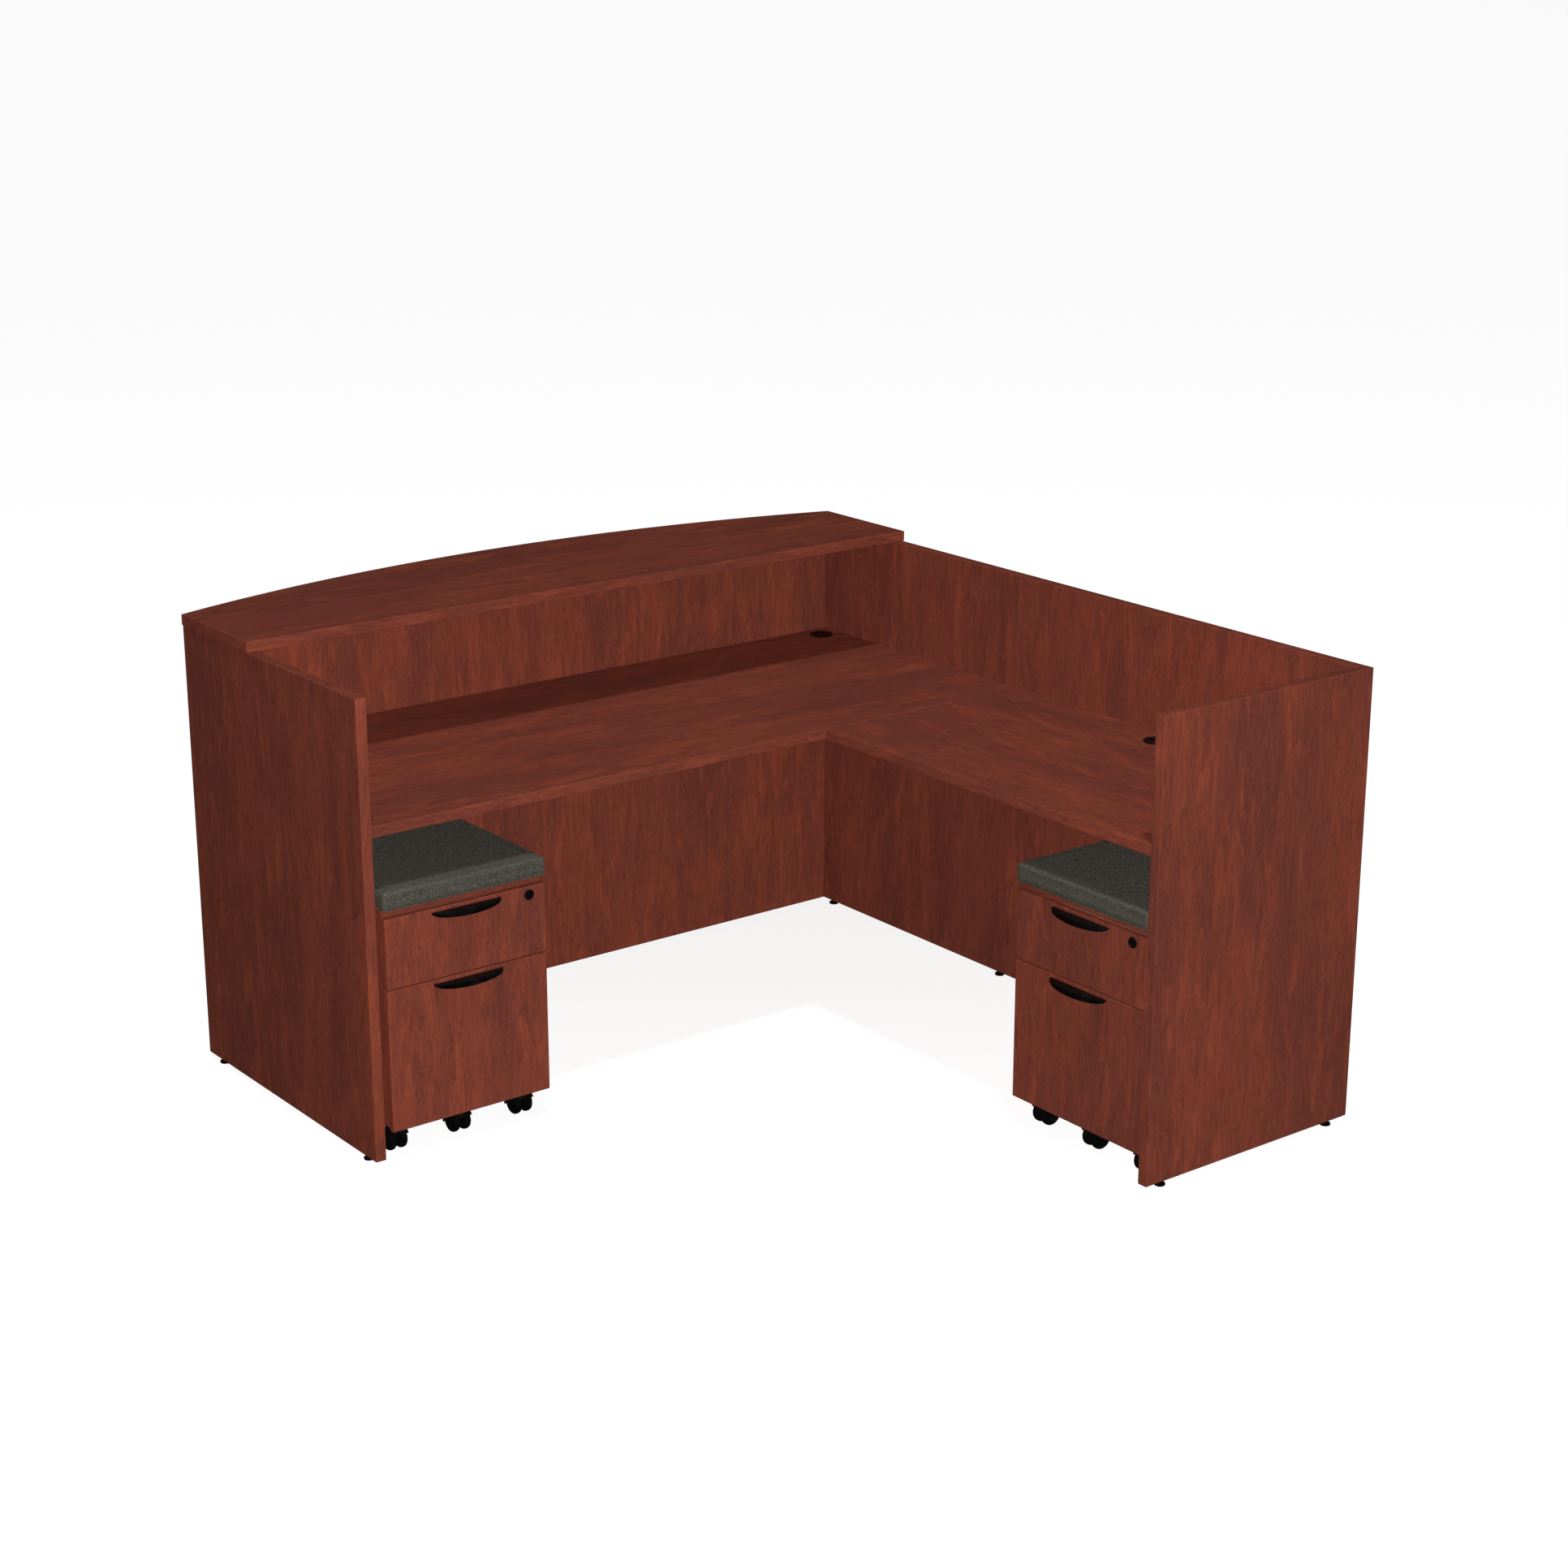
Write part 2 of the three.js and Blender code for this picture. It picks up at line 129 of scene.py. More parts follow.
def turned(profile, sides):
    """A profile of (radius, height) turned about +Z: each row a circle of `sides` points."""
    profile = np.asarray(profile, float)
    angle = even_angles(sides)
    radius, height = profile[:, :1], profile[:, 1:]
    level = np.broadcast_to(height, (len(profile), sides))
    return np.stack([radius * np.cos(angle), radius * np.sin(angle), level], axis=-1)


def add_node(tree, kind, inputs, **settings):
    """Adds one shader node; each input takes a plain value or another node's output."""
    made = tree.nodes.new("ShaderNode" + kind)
    for setting, value in settings.items():
        setattr(made, setting, value)
    for key, value in inputs.items():
        if isinstance(value, bpy.types.NodeSocket):
            tree.links.new(value, made.inputs[key])
        else:
            made.inputs[key].default_value = value
    return made


def start_finish(name, **constants):
    """A finish with its constant sockets set on the shader itself, and its object coordinates."""
    finish = bpy.data.materials.new(name)
    finish.use_nodes = True
    tree = finish.node_tree
    shader = tree.nodes["Principled BSDF"]
    for socket, value in constants.items():
        shader.inputs[socket.replace("_", " ")].default_value = value
    place = tree.nodes.new("ShaderNodeTexCoord").outputs["Object"]
    return finish, tree, shader, place


def cloudy(tree, place, scale, detail=2.0, roughness=0.5, distortion=0.0):
    """Soft noise about 1/scale metres across."""
    inputs = {"Vector": place, "Scale": scale, "Detail": detail, "Roughness": roughness}
    inputs["Distortion"] = distortion
    return add_node(tree, "TexNoise", inputs).outputs["Fac"]


def ranged(tree, value, low, high, to_low, to_high):
    """The value stretched from low..high to to_low..to_high, and held there."""
    names = ["Value", "From Min", "From Max", "To Min", "To Max"]
    inputs = dict(zip(names, [value, low, high, to_low, to_high]))
    return add_node(tree, "MapRange", inputs).outputs["Result"]


def toned(tree, share, first, second, blend="MIX"):
    """The first colour, going over to the second as share goes from 0 to 1."""
    return add_node(
        tree, "Mix", {0: share, 6: first, 7: second}, data_type="RGBA", blend_type=blend
    ).outputs[2]


def bumped(tree, height, distance, strength=1.0):
    """A normal that follows a height of so many metres."""
    inputs = {"Height": height, "Distance": distance, "Strength": strength}
    return add_node(tree, "Bump", inputs).outputs["Normal"]


def moulded_black(name, grain_scale, base, rough):
    """Injection-moulded black nylon: fine spark-eroded grain, faint flow marks, rubbed patches."""
    finish, tree, shader, place = start_finish(name, Specular_IOR_Level=0.2)
    grain = cloudy(tree, place, grain_scale, 3.0, 0.6)
    flow = cloudy(tree, place, 38.0, 2.0)
    rubbed = ranged(tree, flow, 0.45, 0.7, 0.0, 1.0)
    light = tuple(2.1 * c for c in base) + (1.0,)
    tone = toned(tree, rubbed, tuple(base) + (1.0,), light)
    tree.links.new(tone, shader.inputs["Base Color"])
    tree.links.new(ranged(tree, flow, 0.3, 0.7, rough - 0.06, rough + 0.1), shader.inputs["Roughness"])
    tree.links.new(bumped(tree, grain, 0.00012), shader.inputs["Normal"])
    return finish


black_plastic = moulded_black("black_plastic", 1500.0, (0.0018, 0.0017, 0.0018), 0.42)

RIM_ROUND = 0.0014
DISC_TOP = 0.0058
COLLAR_RADIUS, COLLAR_TOP = 0.0072, 0.0088
STUD_RADIUS = 0.004
THREAD_PITCH, THREAD_DEPTH = 0.00125, 0.0005
FOOT_SIDES = 32
for foot in [
    "left_clerk", "left_visitor", "right_clerk", "right_visitor", "return_inner", "return_outer",
]:
    node = "foot_" + foot
    low, high = corners_of(node)
    centre = (low + high) / 2
    radius = (high[0] - low[0]) / 2
    thread = np.arange(COLLAR_TOP, high[2] - 0.0004, THREAD_PITCH / 2)
    ridge = STUD_RADIUS - THREAD_DEPTH * (np.arange(len(thread)) % 2)
    profile = np.concatenate([
        [[radius - 0.004, 0.0006], [radius - 0.0032, 0.0], [radius - RIM_ROUND, 0.0]],
        [[radius - 0.0004, 0.0004], [radius, RIM_ROUND], [radius, DISC_TOP - 0.002]],
        [[radius - 0.0005, DISC_TOP - 0.0006], [radius - 0.002, DISC_TOP]],
        [[COLLAR_RADIUS, DISC_TOP + 0.0002], [COLLAR_RADIUS - 0.0002, COLLAR_TOP - 0.0004]],
        [[COLLAR_RADIUS - 0.0008, COLLAR_TOP]],
        np.column_stack([ridge, thread]),
        [[STUD_RADIUS - 0.001, high[2]]],
    ])
    rings = turned(profile, FOOT_SIDES) + [centre[0], centre[1], 0.0]
    add_piece(node + "_leveller", shell(rings), black_plastic, node, [node])


# ---- End panels -----------------------------------------------------------------------------
# Three upright chipboard panels, faced both sides with cherry-grained laminate. Their edges are
# banded with the same laminate and eased. They stand on the feet and carry the whole desk.

EASE = 0.0013
BAND_IN = 0.0035
BAND_RISE = 0.0022
EDGE_POINTS = 4
BOARD_CORNER = 0.0012
LEAST_CORNER = 0.0003


def softened(corners, radius):
    """A polygon's corners rounded: between the points `radius` before and after each corner runs
    the quadratic curve (1-s)^2 before + 2s(1-s) corner + s^2 after."""
    corners = np.asarray(corners, float)
    ahead = np.roll(corners, -1, axis=0) - corners
    ahead /= np.linalg.norm(ahead, axis=1, keepdims=True)
    before = corners - radius * np.roll(ahead, 1, axis=0)
    after = corners + radius * ahead
    s = np.linspace(0, 1, EDGE_POINTS)[None, :, None]
    before, corners, after = before[:, None], corners[:, None], after[:, None]
    curve = (1 - s) ** 2 * before + 2 * s * (1 - s) * corners + s ** 2 * after
    return curve.reshape(-1, 2)


def moved_in(outline, distance):
    """An outline moved in by a distance: each point goes along the sum of its two edges' inward
    normals, divided by one plus their dot product."""
    ahead = np.roll(outline, -1, axis=0) - outline
    ahead = ahead / np.linalg.norm(ahead, axis=1, keepdims=True)
    normal = np.stack([-ahead[:, 1], ahead[:, 0]], axis=1)
    behind = np.roll(normal, 1, axis=0)
    shared = 1 + np.sum(normal * behind, axis=1, keepdims=True)
    return outline + distance * (normal + behind) / shared


def eased_profile(thickness):
    """(inset, height, worn) from the bottom face over the banded edge to the top face: a ring a
    little way in, a quarter-round ease, a ring up the band, then the same mirrored."""
    turn = np.linspace(0, np.pi / 2, EDGE_POINTS)
    inset = np.concatenate([[BAND_IN], EASE * (1 - np.sin(turn)), [0.0]])
    height = np.concatenate([[0.0], EASE * (1 - np.cos(turn)), [BAND_RISE]])
    worn = np.concatenate([[0.0], np.ones(EDGE_POINTS), [0.0]])
    return np.column_stack([
        np.concatenate([inset, inset[::-1]]),
        np.concatenate([height, thickness - height[::-1]]),
        np.concatenate([worn, worn[::-1]]),
    ])


def level_ring(outline, height):
    """An outline laid level at a height."""
    return np.column_stack([outline, np.full(len(outline), height)])


def slab(outline_at, thickness):
    """A flat board on w = 0: outline_at(inset) gives its outline moved in, and each ring of the
    eased profile takes the outline at its inset. Returns the rings and how worn each ring is."""
    profile = eased_profile(thickness)
    rings = [level_ring(outline_at(inset), height) for inset, height, _ in profile]
    return np.array(rings), profile[:, 2]


def soft_outline(corners, radius):
    """The outline_at function of a polygon with rounded corners: its corners go in by the inset,
    and their rounding shrinks by as much."""
    corners = np.array(corners, float)
    return lambda inset: softened(moved_in(corners, inset), max(radius - inset, LEAST_CORNER))


def rectangle(low, high):
    """The four corners of a rectangle, anticlockwise."""
    return [[low[0], low[1]], [high[0], low[1]], [high[0], high[1]], [low[0], high[1]]]


def grain_of(points, along, seed):
    """Where each point lies in the board's own sheet of laminate: (along the grain, across it,
    through it), shifted by a place drawn for that board."""
    start = np.random.default_rng(seed).uniform(-4, 4, 3)
    return np.roll(points, -along, axis=-1) + start


def add_board(name, low, high, through, along, seed, body, stands_for=(), place=None):
    """A rectangular board between two corners, `through` its thickness axis and `along` its
    grain."""
    low, high = np.array(low, float), np.array(high, float)
    flat_low, flat_high = np.roll(low, -(through + 1)), np.roll(high, -(through + 1))
    outline_at = soft_outline(rectangle(flat_low, flat_high), BOARD_CORNER)
    rings, worn = slab(outline_at, flat_high[2] - flat_low[2])
    rings[..., 2] += flat_low[2]
    rings = np.roll(rings, through + 1, axis=-1)
    return add_laminated(name, rings, worn, along, seed, body, stands_for, place)


def add_laminated(name, rings, worn, along, seed, body, stands_for=(), place=None, around=False):
    """A laminated piece from its rings, with the marks that the laminate's finish reads."""
    surface = shell(rings, around)
    marks = {
        "grain": grain_of(surface[0], along, seed),
        "worn": np.repeat(worn, rings.shape[1]),
    }
    add_piece(name, surface, laminate, body, stands_for, place, marks)


def cherry_laminate():
    """Printed cherry laminate: brown ground with orange flame and plum shade drawn out along the
    grain, growth rings where a slow noise passes whole steps, fine fibre, short dark pores, and
    a matt coat that is duller in the pores and rubbed pale along the eased edges."""
    finish, tree, shader, _ = start_finish("cherry_laminate", Specular_IOR_Level=0.12)
    grain = add_node(tree, "Attribute", {}, attribute_name="grain").outputs["Vector"]
    worn = add_node(tree, "Attribute", {}, attribute_name="worn").outputs["Fac"]

    def drawn_out(share, start=0.0):
        """The sheet's coordinates with the pattern 1/share times longer along the grain."""
        inputs = {"Vector": grain, "Scale": (share, 1.0, 1.0), "Location": (start, start, 0.0)}
        return add_node(tree, "Mapping", inputs).outputs["Vector"]

    def combined(operation, first, second):
        return add_node(tree, "Math", {0: first, 1: second}, operation=operation).outputs["Value"]

    ground, shade = (0.161, 0.0372, 0.0222, 1.0), (0.118, 0.0300, 0.0205, 1.0)
    flame, vein = (0.218, 0.0480, 0.0240, 1.0), (0.066, 0.0170, 0.0125, 1.0)
    bands = cloudy(tree, drawn_out(0.2), 7.0, 3.0, 0.5, 0.5)
    tone = toned(tree, ranged(tree, bands, 0.38, 0.58, 0.0, 1.0), shade, ground)
    flames = cloudy(tree, drawn_out(0.22, 3.0), 24.0, 4.0, 0.6, 0.8)
    tone = toned(tree, ranged(tree, flames, 0.49, 0.66, 0.0, 0.72), tone, flame)
    shades = cloudy(tree, drawn_out(0.2, 7.0), 27.0, 4.0, 0.6, 0.7)
    tone = toned(tree, ranged(tree, shades, 0.50, 0.66, 0.0, 0.75), tone, shade)

    slow = cloudy(tree, drawn_out(0.15, 5.0), 6.5, 3.0, 0.5, 0.4)
    rings = combined("FRACT", combined("MULTIPLY", slow, 22.0), 0.0)
    shown = ranged(tree, cloudy(tree, drawn_out(0.35, 9.0), 10.0, 2.0), 0.44, 0.62, 0.0, 1.0)
    late_wood = combined("MULTIPLY", ranged(tree, rings, 0.4, 1.0, 0.0, 0.22), shown)
    tone = toned(tree, late_wood, tone, vein)
    edge_line = combined("MULTIPLY", ranged(tree, rings, 0.90, 0.98, 0.0, 0.30), shown)
    tone = toned(tree, edge_line, tone, vein)
    wander = cloudy(tree, drawn_out(0.24, 11.0), 17.0, 5.0, 0.6, 0.3)
    off_line = combined("ABSOLUTE", combined("SUBTRACT", wander, 0.5), 0.0)
    here = ranged(tree, cloudy(tree, drawn_out(0.4, 14.0), 13.0, 2.0), 0.42, 0.58, 0.0, 1.0)
    squiggle = combined("MULTIPLY", ranged(tree, off_line, 0.0, 0.012, 0.5, 0.0), here)
    tone = toned(tree, squiggle, tone, vein)

    fibre = cloudy(tree, drawn_out(0.09), 170.0, 5.0, 0.72, 0.3)
    tone = toned(tree, ranged(tree, fibre, 0.50, 0.34, 0.0, 0.42), tone, vein)
    tone = toned(tree, ranged(tree, fibre, 0.52, 0.68, 0.0, 0.28), tone, flame)
    flecks = cloudy(tree, drawn_out(0.22), 330.0, 3.0, 0.7)
    tone = toned(tree, ranged(tree, flecks, 0.48, 0.32, 0.0, 0.40), tone, vein)
    tone = toned(tree, ranged(tree, flecks, 0.54, 0.70, 0.0, 0.36), tone, flame)
    pores = ranged(tree, cloudy(tree, drawn_out(0.05), 640.0, 2.0), 0.60, 0.70, 0.0, 1.0)
    tone = toned(tree, ranged(tree, pores, 0.0, 1.0, 0.0, 0.5), tone, vein)
    rub = ranged(tree, cloudy(tree, drawn_out(1.0), 35.0, 3.0, 0.6), 0.44, 0.66, 0.0, 0.22)
    tone = toned(tree, combined("MULTIPLY", worn, rub), tone, (0.190, 0.046, 0.026, 1.0))
    tree.links.new(tone, shader.inputs["Base Color"])

    satin = ranged(tree, cloudy(tree, drawn_out(0.3), 14.0, 3.0, 0.6), 0.3, 0.7, 0.46, 0.56)
    rough = combined("ADD", satin, combined("MULTIPLY", pores, 0.12))
    tree.links.new(rough, shader.inputs["Roughness"])
    relief = combined("SUBTRACT", fibre, pores)
    tree.links.new(bumped(tree, relief, 0.00006), shader.inputs["Normal"])
    return finish


laminate = cherry_laminate()
ALONG_X, ALONG_Y, ALONG_Z = 0, 1, 2
THROUGH_X, THROUGH_Y, THROUGH_Z = 0, 1, 2


def add_upright(panel, through, seed):
    """One upright panel of the desk, its grain standing."""
    node = panel + "_panel"
    add_board(panel + "_board", *corners_of(node), through, ALONG_Z, seed, "desk", [node])


add_upright("left_end", THROUGH_X, 11)
add_upright("right_end", THROUGH_X, 12)
add_upright("return_end", THROUGH_Y, 13)


# ---- Front panel and return back panel ------------------------------------------------------
# Two more upright panels of the same board close the visitor side and the return's outer side.
# Cam fittings and dowels hold them between the end panels.

add_upright("front", THROUGH_Y, 21)
add_upright("return_back", THROUGH_X, 22)


# ---- Worksurfaces ---------------------------------------------------------------------------
# Two horizontal boards at the same height, butted together in the corner. Each has one round
# hole by its back edge, counterbored so that the grommet's flange sits down into it.

GROMMET_HOLE = 0.0254
GROMMET_SEAT = 0.0303
SEAT_DEPTH = 0.0015
HOLE_SIDES = 72
TINY = 1e-9


def rays(angles):
    """Flat vectors of length one at these angles."""
    return np.column_stack([np.cos(angles), np.sin(angles)])


def ray_angles(low, high, centre, sides):
    """Evenly spread angles, and the angles of the rectangle's four corners seen from the hole."""
    corners = np.array(rectangle(low, high)) - centre
    angles = np.concatenate([even_angles(sides), np.arctan2(corners[:, 1], corners[:, 0])])
    return np.unique(np.mod(angles, 2 * np.pi))


def rectangle_at(low, high, centre, angles):
    """The rectangle's points at these angles from the hole's centre: each ray goes as far as the
    nearest of the two sides that it heads for."""
    ray = rays(angles)
    side = np.where(ray > 0, high, low)
    reach = np.abs((side - centre) / np.where(np.abs(ray) < TINY, TINY, ray))
    return centre + ray * reach.min(axis=1, keepdims=True)


def bored_slab(low, high, centre, thickness, holes):
    """A rectangular board with a round hole: rings run from the hole's bottom edge out over the
    bottom face, up the eased edge, in over the top face, and down the hole's wall. holes lists
    (radius, height) from the top of the wall to its bottom."""
    low, high, centre = (np.array(p, float) for p in (low, high, centre))
    angles = ray_angles(low, high, centre, HOLE_SIDES)
    profile = eased_profile(thickness)
    rings = [
        level_ring(rectangle_at(low + inset, high - inset, centre, angles), height)
        for inset, height, _ in profile
    ]
    wall = [level_ring(centre + radius * rays(angles), height) for radius, height in holes]
    return np.array(rings + wall), np.concatenate([profile[:, 2], np.zeros(len(holes))])


def add_worksurface(name, node, grommet, along, seed):
    """A worksurface with its hole under its grommet's middle."""
    low, high = corners_of(node)
    flange_low, flange_high = corners_of(grommet)
    centre = ((flange_low + flange_high) / 2)[:2]
    thick = high[2] - low[2]
    holes = [
        (GROMMET_SEAT, thick), (GROMMET_SEAT, thick - SEAT_DEPTH),
        (GROMMET_HOLE, thick - SEAT_DEPTH), (GROMMET_HOLE, 0.0),
    ]
    rings, worn = bored_slab(low[:2], high[:2], centre, thick, holes)
    rings[..., 2] += low[2]
    add_laminated(name, rings, worn, along, seed, "desk", [node], around=True)


add_worksurface("main_worktop", "main_worksurface", "main_grommet", ALONG_X, 31)
add_worksurface("return_worktop", "return_worksurface", "return_grommet", ALONG_Y, 32)


# ---- Transaction counter --------------------------------------------------------------------
# The raised top where the visitor signs. It lies on the end and front panels, straight on the
# clerk's side and bowed on the visitor's side in one arc of a circle.

COUNTER_CORNER = 0.0025
ARC_POINTS = 97


def bow_outline(low, high, chord_y, inset):
    """Anticlockwise: the straight side, two short ends, and an arc through the bow's crown. The
    radius is (half chord squared + bow squared) / (2 bow), less the inset."""
    half = (high[0] - low[0]) / 2
    bow = high[1] - chord_y
    radius = (half ** 2 + bow ** 2) / (2 * bow)
    centre = np.array([(low[0] + high[0]) / 2, high[1] - radius])
    end = np.arcsin((half - inset) / (radius - inset))
    angle = np.pi / 2 + np.linspace(-end, end, ARC_POINTS)
    arc = centre + (radius - inset) * rays(angle)
    square = rectangle(low[:2] + inset, high[:2] - inset)
    straight = softened(square, max(COUNTER_CORNER - inset, LEAST_CORNER))[:2 * EDGE_POINTS]
    return np.concatenate([straight, arc])


counter_low, counter_high = corners_of("transaction_counter")
chord_y = corners_of("left_end_panel")[1][1]
rings, worn = slab(
    lambda inset: bow_outline(counter_low, counter_high, chord_y, inset),
    counter_high[2] - counter_low[2],
)
rings[..., 2] += counter_low[2]
add_laminated("counter_top", rings, worn, ALONG_X, 41, "desk", ["transaction_counter"])


# ---- Cable grommets -------------------------------------------------------------------------
# Two moulded liners pushed into the worksurfaces' holes. Each has a rounded flange, and a cap
# with a slot for the cables, off the middle towards the visitor.

LINER_BORE = 0.0225
LINER_SLEEVE = 0.025
FLANGE_HEIGHT = 0.0042
CAP_RADIUS = 0.0240
CAP_SEAT = 0.0026
CAP_EASE = 0.0006
SLOT_HALF_LENGTH = 0.013
SLOT_HALF_WIDTH = 0.006
SLOT_SETBACK = 0.011
CAP_SIDES = 64


def slot_ring(half_length, half_width, angles):
    """A slot with round ends, at even angles: straight sides at half_width, then a circle about
    each end's centre. Each ray's reach is where it meets whichever it heads for."""
    ray = rays(angles)
    run = half_length - half_width
    flat_reach = half_width / np.maximum(np.abs(ray[:, 1]), TINY)
    forward = np.abs(ray[:, 0]) * run
    round_reach = forward + np.sqrt(forward ** 2 + half_width ** 2 - run ** 2)
    reach = np.where(flat_reach * np.abs(ray[:, 0]) <= run, flat_reach, round_reach)
    return ray * reach[:, None]


def circle_ring(radius, offset, angles):
    """A circle about `offset`, at the same angles seen from the slot's centre: the ray's reach is
    a + sqrt(a^2 + radius^2 - offset^2), with a the offset's share along the ray."""
    ray = rays(angles)
    forward = ray @ offset
    reach = forward + np.sqrt(forward ** 2 + radius ** 2 - offset @ offset)
    return ray * reach[:, None]


def add_grommet(name, node):
    """One liner with its cap, which is drawn about its slot's centre."""
    low, high = corners_of(node)
    centre = (low + high) / 2
    flange = (high[0] - low[0]) / 2
    top = high[2]
    flange_foot = top - FLANGE_HEIGHT
    cap_foot = top - CAP_SEAT
    liner = turned([
        [LINER_BORE, low[2]], [LINER_SLEEVE, low[2]], [LINER_SLEEVE, flange_foot],
        [flange, flange_foot], [flange, flange_foot + 0.0021], [flange - 0.0004, flange_foot + 0.0030],
        [flange - 0.0013, flange_foot + 0.0038], [flange - 0.0026, top], [CAP_RADIUS + 0.0012, top],
        [CAP_RADIUS + 0.0004, top - 0.0005], [CAP_RADIUS + 0.0003, cap_foot],
        [LINER_BORE, cap_foot],
    ], CAP_SIDES) + [centre[0], centre[1], 0.0]
    angles = even_angles(CAP_SIDES)
    offset = np.array([0.0, -SLOT_SETBACK])
    slot = slot_ring(SLOT_HALF_LENGTH, SLOT_HALF_WIDTH, angles)
    slot_ease = slot_ring(SLOT_HALF_LENGTH + CAP_EASE, SLOT_HALF_WIDTH + CAP_EASE, angles)
    rim = circle_ring(CAP_RADIUS, offset, angles)
    rim_ease = circle_ring(CAP_RADIUS - CAP_EASE, offset, angles)
    cap = np.array([
        level_ring(slot, top - 0.0022), level_ring(rim, top - 0.0022), level_ring(rim, top - 0.0010),
        level_ring(rim_ease, top - 0.0004), level_ring(slot_ease, top - 0.0004),
        level_ring(slot, top - 0.0009),
    ]) + [centre[0], centre[1] + SLOT_SETBACK, 0.0]
    both = together(shell(liner, around=True), shell(cap, around=True))
    add_piece(name, both, black_plastic, "desk", [node])


add_grommet("main_cable_grommet", "main_grommet")
add_grommet("return_cable_grommet", "return_grommet")


# ---- Pedestal cases -------------------------------------------------------------------------
# Two mobile pedestals, one under each worksurface. A case is two sides, a top, a back and a base
# of thinner laminated board; the base is cut away in front for the drawer's own castor.

NOTCH_HALF = 0.060
NOTCH_DEPTH = 0.150
BACK_THICK = 0.018
BASE_CORNER = 0.002
GAP = 0.0001
SIDES = ("left", "right")
DRAWERS = ("box_drawer", "file_drawer")


def own_frame(side):
    """A pedestal's own frame: its origin on the floor under the middle of its drawer fronts,
    its first axis across them and its second axis into the case."""
    low, high = corners_of(side + "_file_drawer_front")
    middle = (low + high) / 2
    if side == "left":
        return np.array([middle[0], low[1], 0.0]), np.array([[1, 0, 0], [0, 1, 0], [0, 0, 1.0]])
    return np.array([low[0], middle[1], 0.0]), np.array([[0, -1, 0], [1, 0, 0], [0, 0, 1.0]])


def placed(side):
    """The function that turns points of the pedestal's own frame into the row frame."""
    origin, axes = own_frame(side)
    return lambda points: origin + np.asarray(points, float) @ axes


def own_box(side, node):
    """A node's lowest and highest corners in the pedestal's own frame."""
    origin, axes = own_frame(side)
    corners = (np.array(corners_of(f"{side}_{node}")) - origin) @ axes.T
    return corners.min(axis=0), corners.max(axis=0)


CASE_BOARDS = [
    ("case_side_left", THROUGH_X, ALONG_Z, 100),
    ("case_side_right", THROUGH_X, ALONG_Z, 101),
    ("case_top", THROUGH_Z, ALONG_X, 103),
]
for number, side in enumerate(SIDES):
    body, place, later = side + "_pedestal", placed(side), 20 * number
    for part, through, along, seed in CASE_BOARDS:
        node = f"{side}_{part}"
        corners = own_box(side, part)
        add_board(node + "_board", *corners, through, along, seed + later, body, [node], place)
    low, high = own_box(side, "case_back_and_base")
    back_low = [low[0], high[1] - BACK_THICK, low[2] + BACK_THICK + GAP]
    add_board(
        f"{side}_case_back_board", back_low, high, THROUGH_Y, ALONG_Z, 104 + later, body, [], place
    )
    front = low[1]
    base_outline = soft_outline([
        [low[0], front], [-NOTCH_HALF, front], [-NOTCH_HALF, NOTCH_DEPTH],
        [NOTCH_HALF, NOTCH_DEPTH], [NOTCH_HALF, front], [high[0], front], high[:2], [low[0], high[1]],
    ], BASE_CORNER)
    rings, worn = slab(base_outline, BACK_THICK)
    rings[..., 2] += low[2]
    add_laminated(
        f"{side}_case_base_board", rings, worn, ALONG_X, 105 + later, body,
        [side + "_case_back_and_base"], place,
    )


# ---- Castors --------------------------------------------------------------------------------
# Five black twin-wheel castors to a pedestal: four under the case, and one under the file
# drawer that stops it tipping. A moulded hood turns on its stem over two wheels on one axle.

AXLE_HEIGHT = 0.025
WHEEL_RADIUS = 0.025
HUB_RADIUS = 0.0165
TREAD_POWER = 2.5
TREAD_INNER = 0.0048
WHEEL_SIDES = 56
HOOD_FROM, HOOD_TO = math.radians(-20), math.radians(150)
HOOD_STEPS = 36
HOOD_HALF = 0.0229
HOOD_OUTER, HOOD_INNER = 0.0290, 0.0264
HOOD_CROWN, CROWN_POWER = 0.0017, 3.2
TRAIL = 0.018
NECK_BOTTOM = AXLE_HEIGHT + 0.0262
NECK_SIDES = 40
PLATE_HALF = 0.021
PLATE_THICK = 0.0016
PLATE_EASE = 0.0004
STEM_BORE = 0.0096
CASTORS = ("front_left", "front_middle", "front_right", "rear_left", "rear_right")


def worn_rubber():
    """Hard grey-black tyre rubber: dusty in patches, with a fine pitted skin."""
    finish, tree, shader, place = start_finish("castor_tyre", Specular_IOR_Level=0.2)
    dust = cloudy(tree, place, 90.0, 3.0, 0.6)
    clean, dusty = (0.0022, 0.0022, 0.0024, 1.0), (0.0060, 0.0058, 0.0055, 1.0)
    tone = toned(tree, ranged(tree, dust, 0.45, 0.75, 0.0, 0.7), clean, dusty)
    tree.links.new(tone, shader.inputs["Base Color"])
    tree.links.new(ranged(tree, dust, 0.3, 0.7, 0.45, 0.68), shader.inputs["Roughness"])
    tree.links.new(bumped(tree, cloudy(tree, place, 1800.0, 2.0), 0.0001), shader.inputs["Normal"])
    return finish


castor_tyre = worn_rubber()


def across_axle(rings, axle):
    """Turns a shape made about +Z so that its axis lies across the castor, at its axle."""
    return np.stack([rings[..., 2], rings[..., 0], rings[..., 1]], axis=-1) + axle


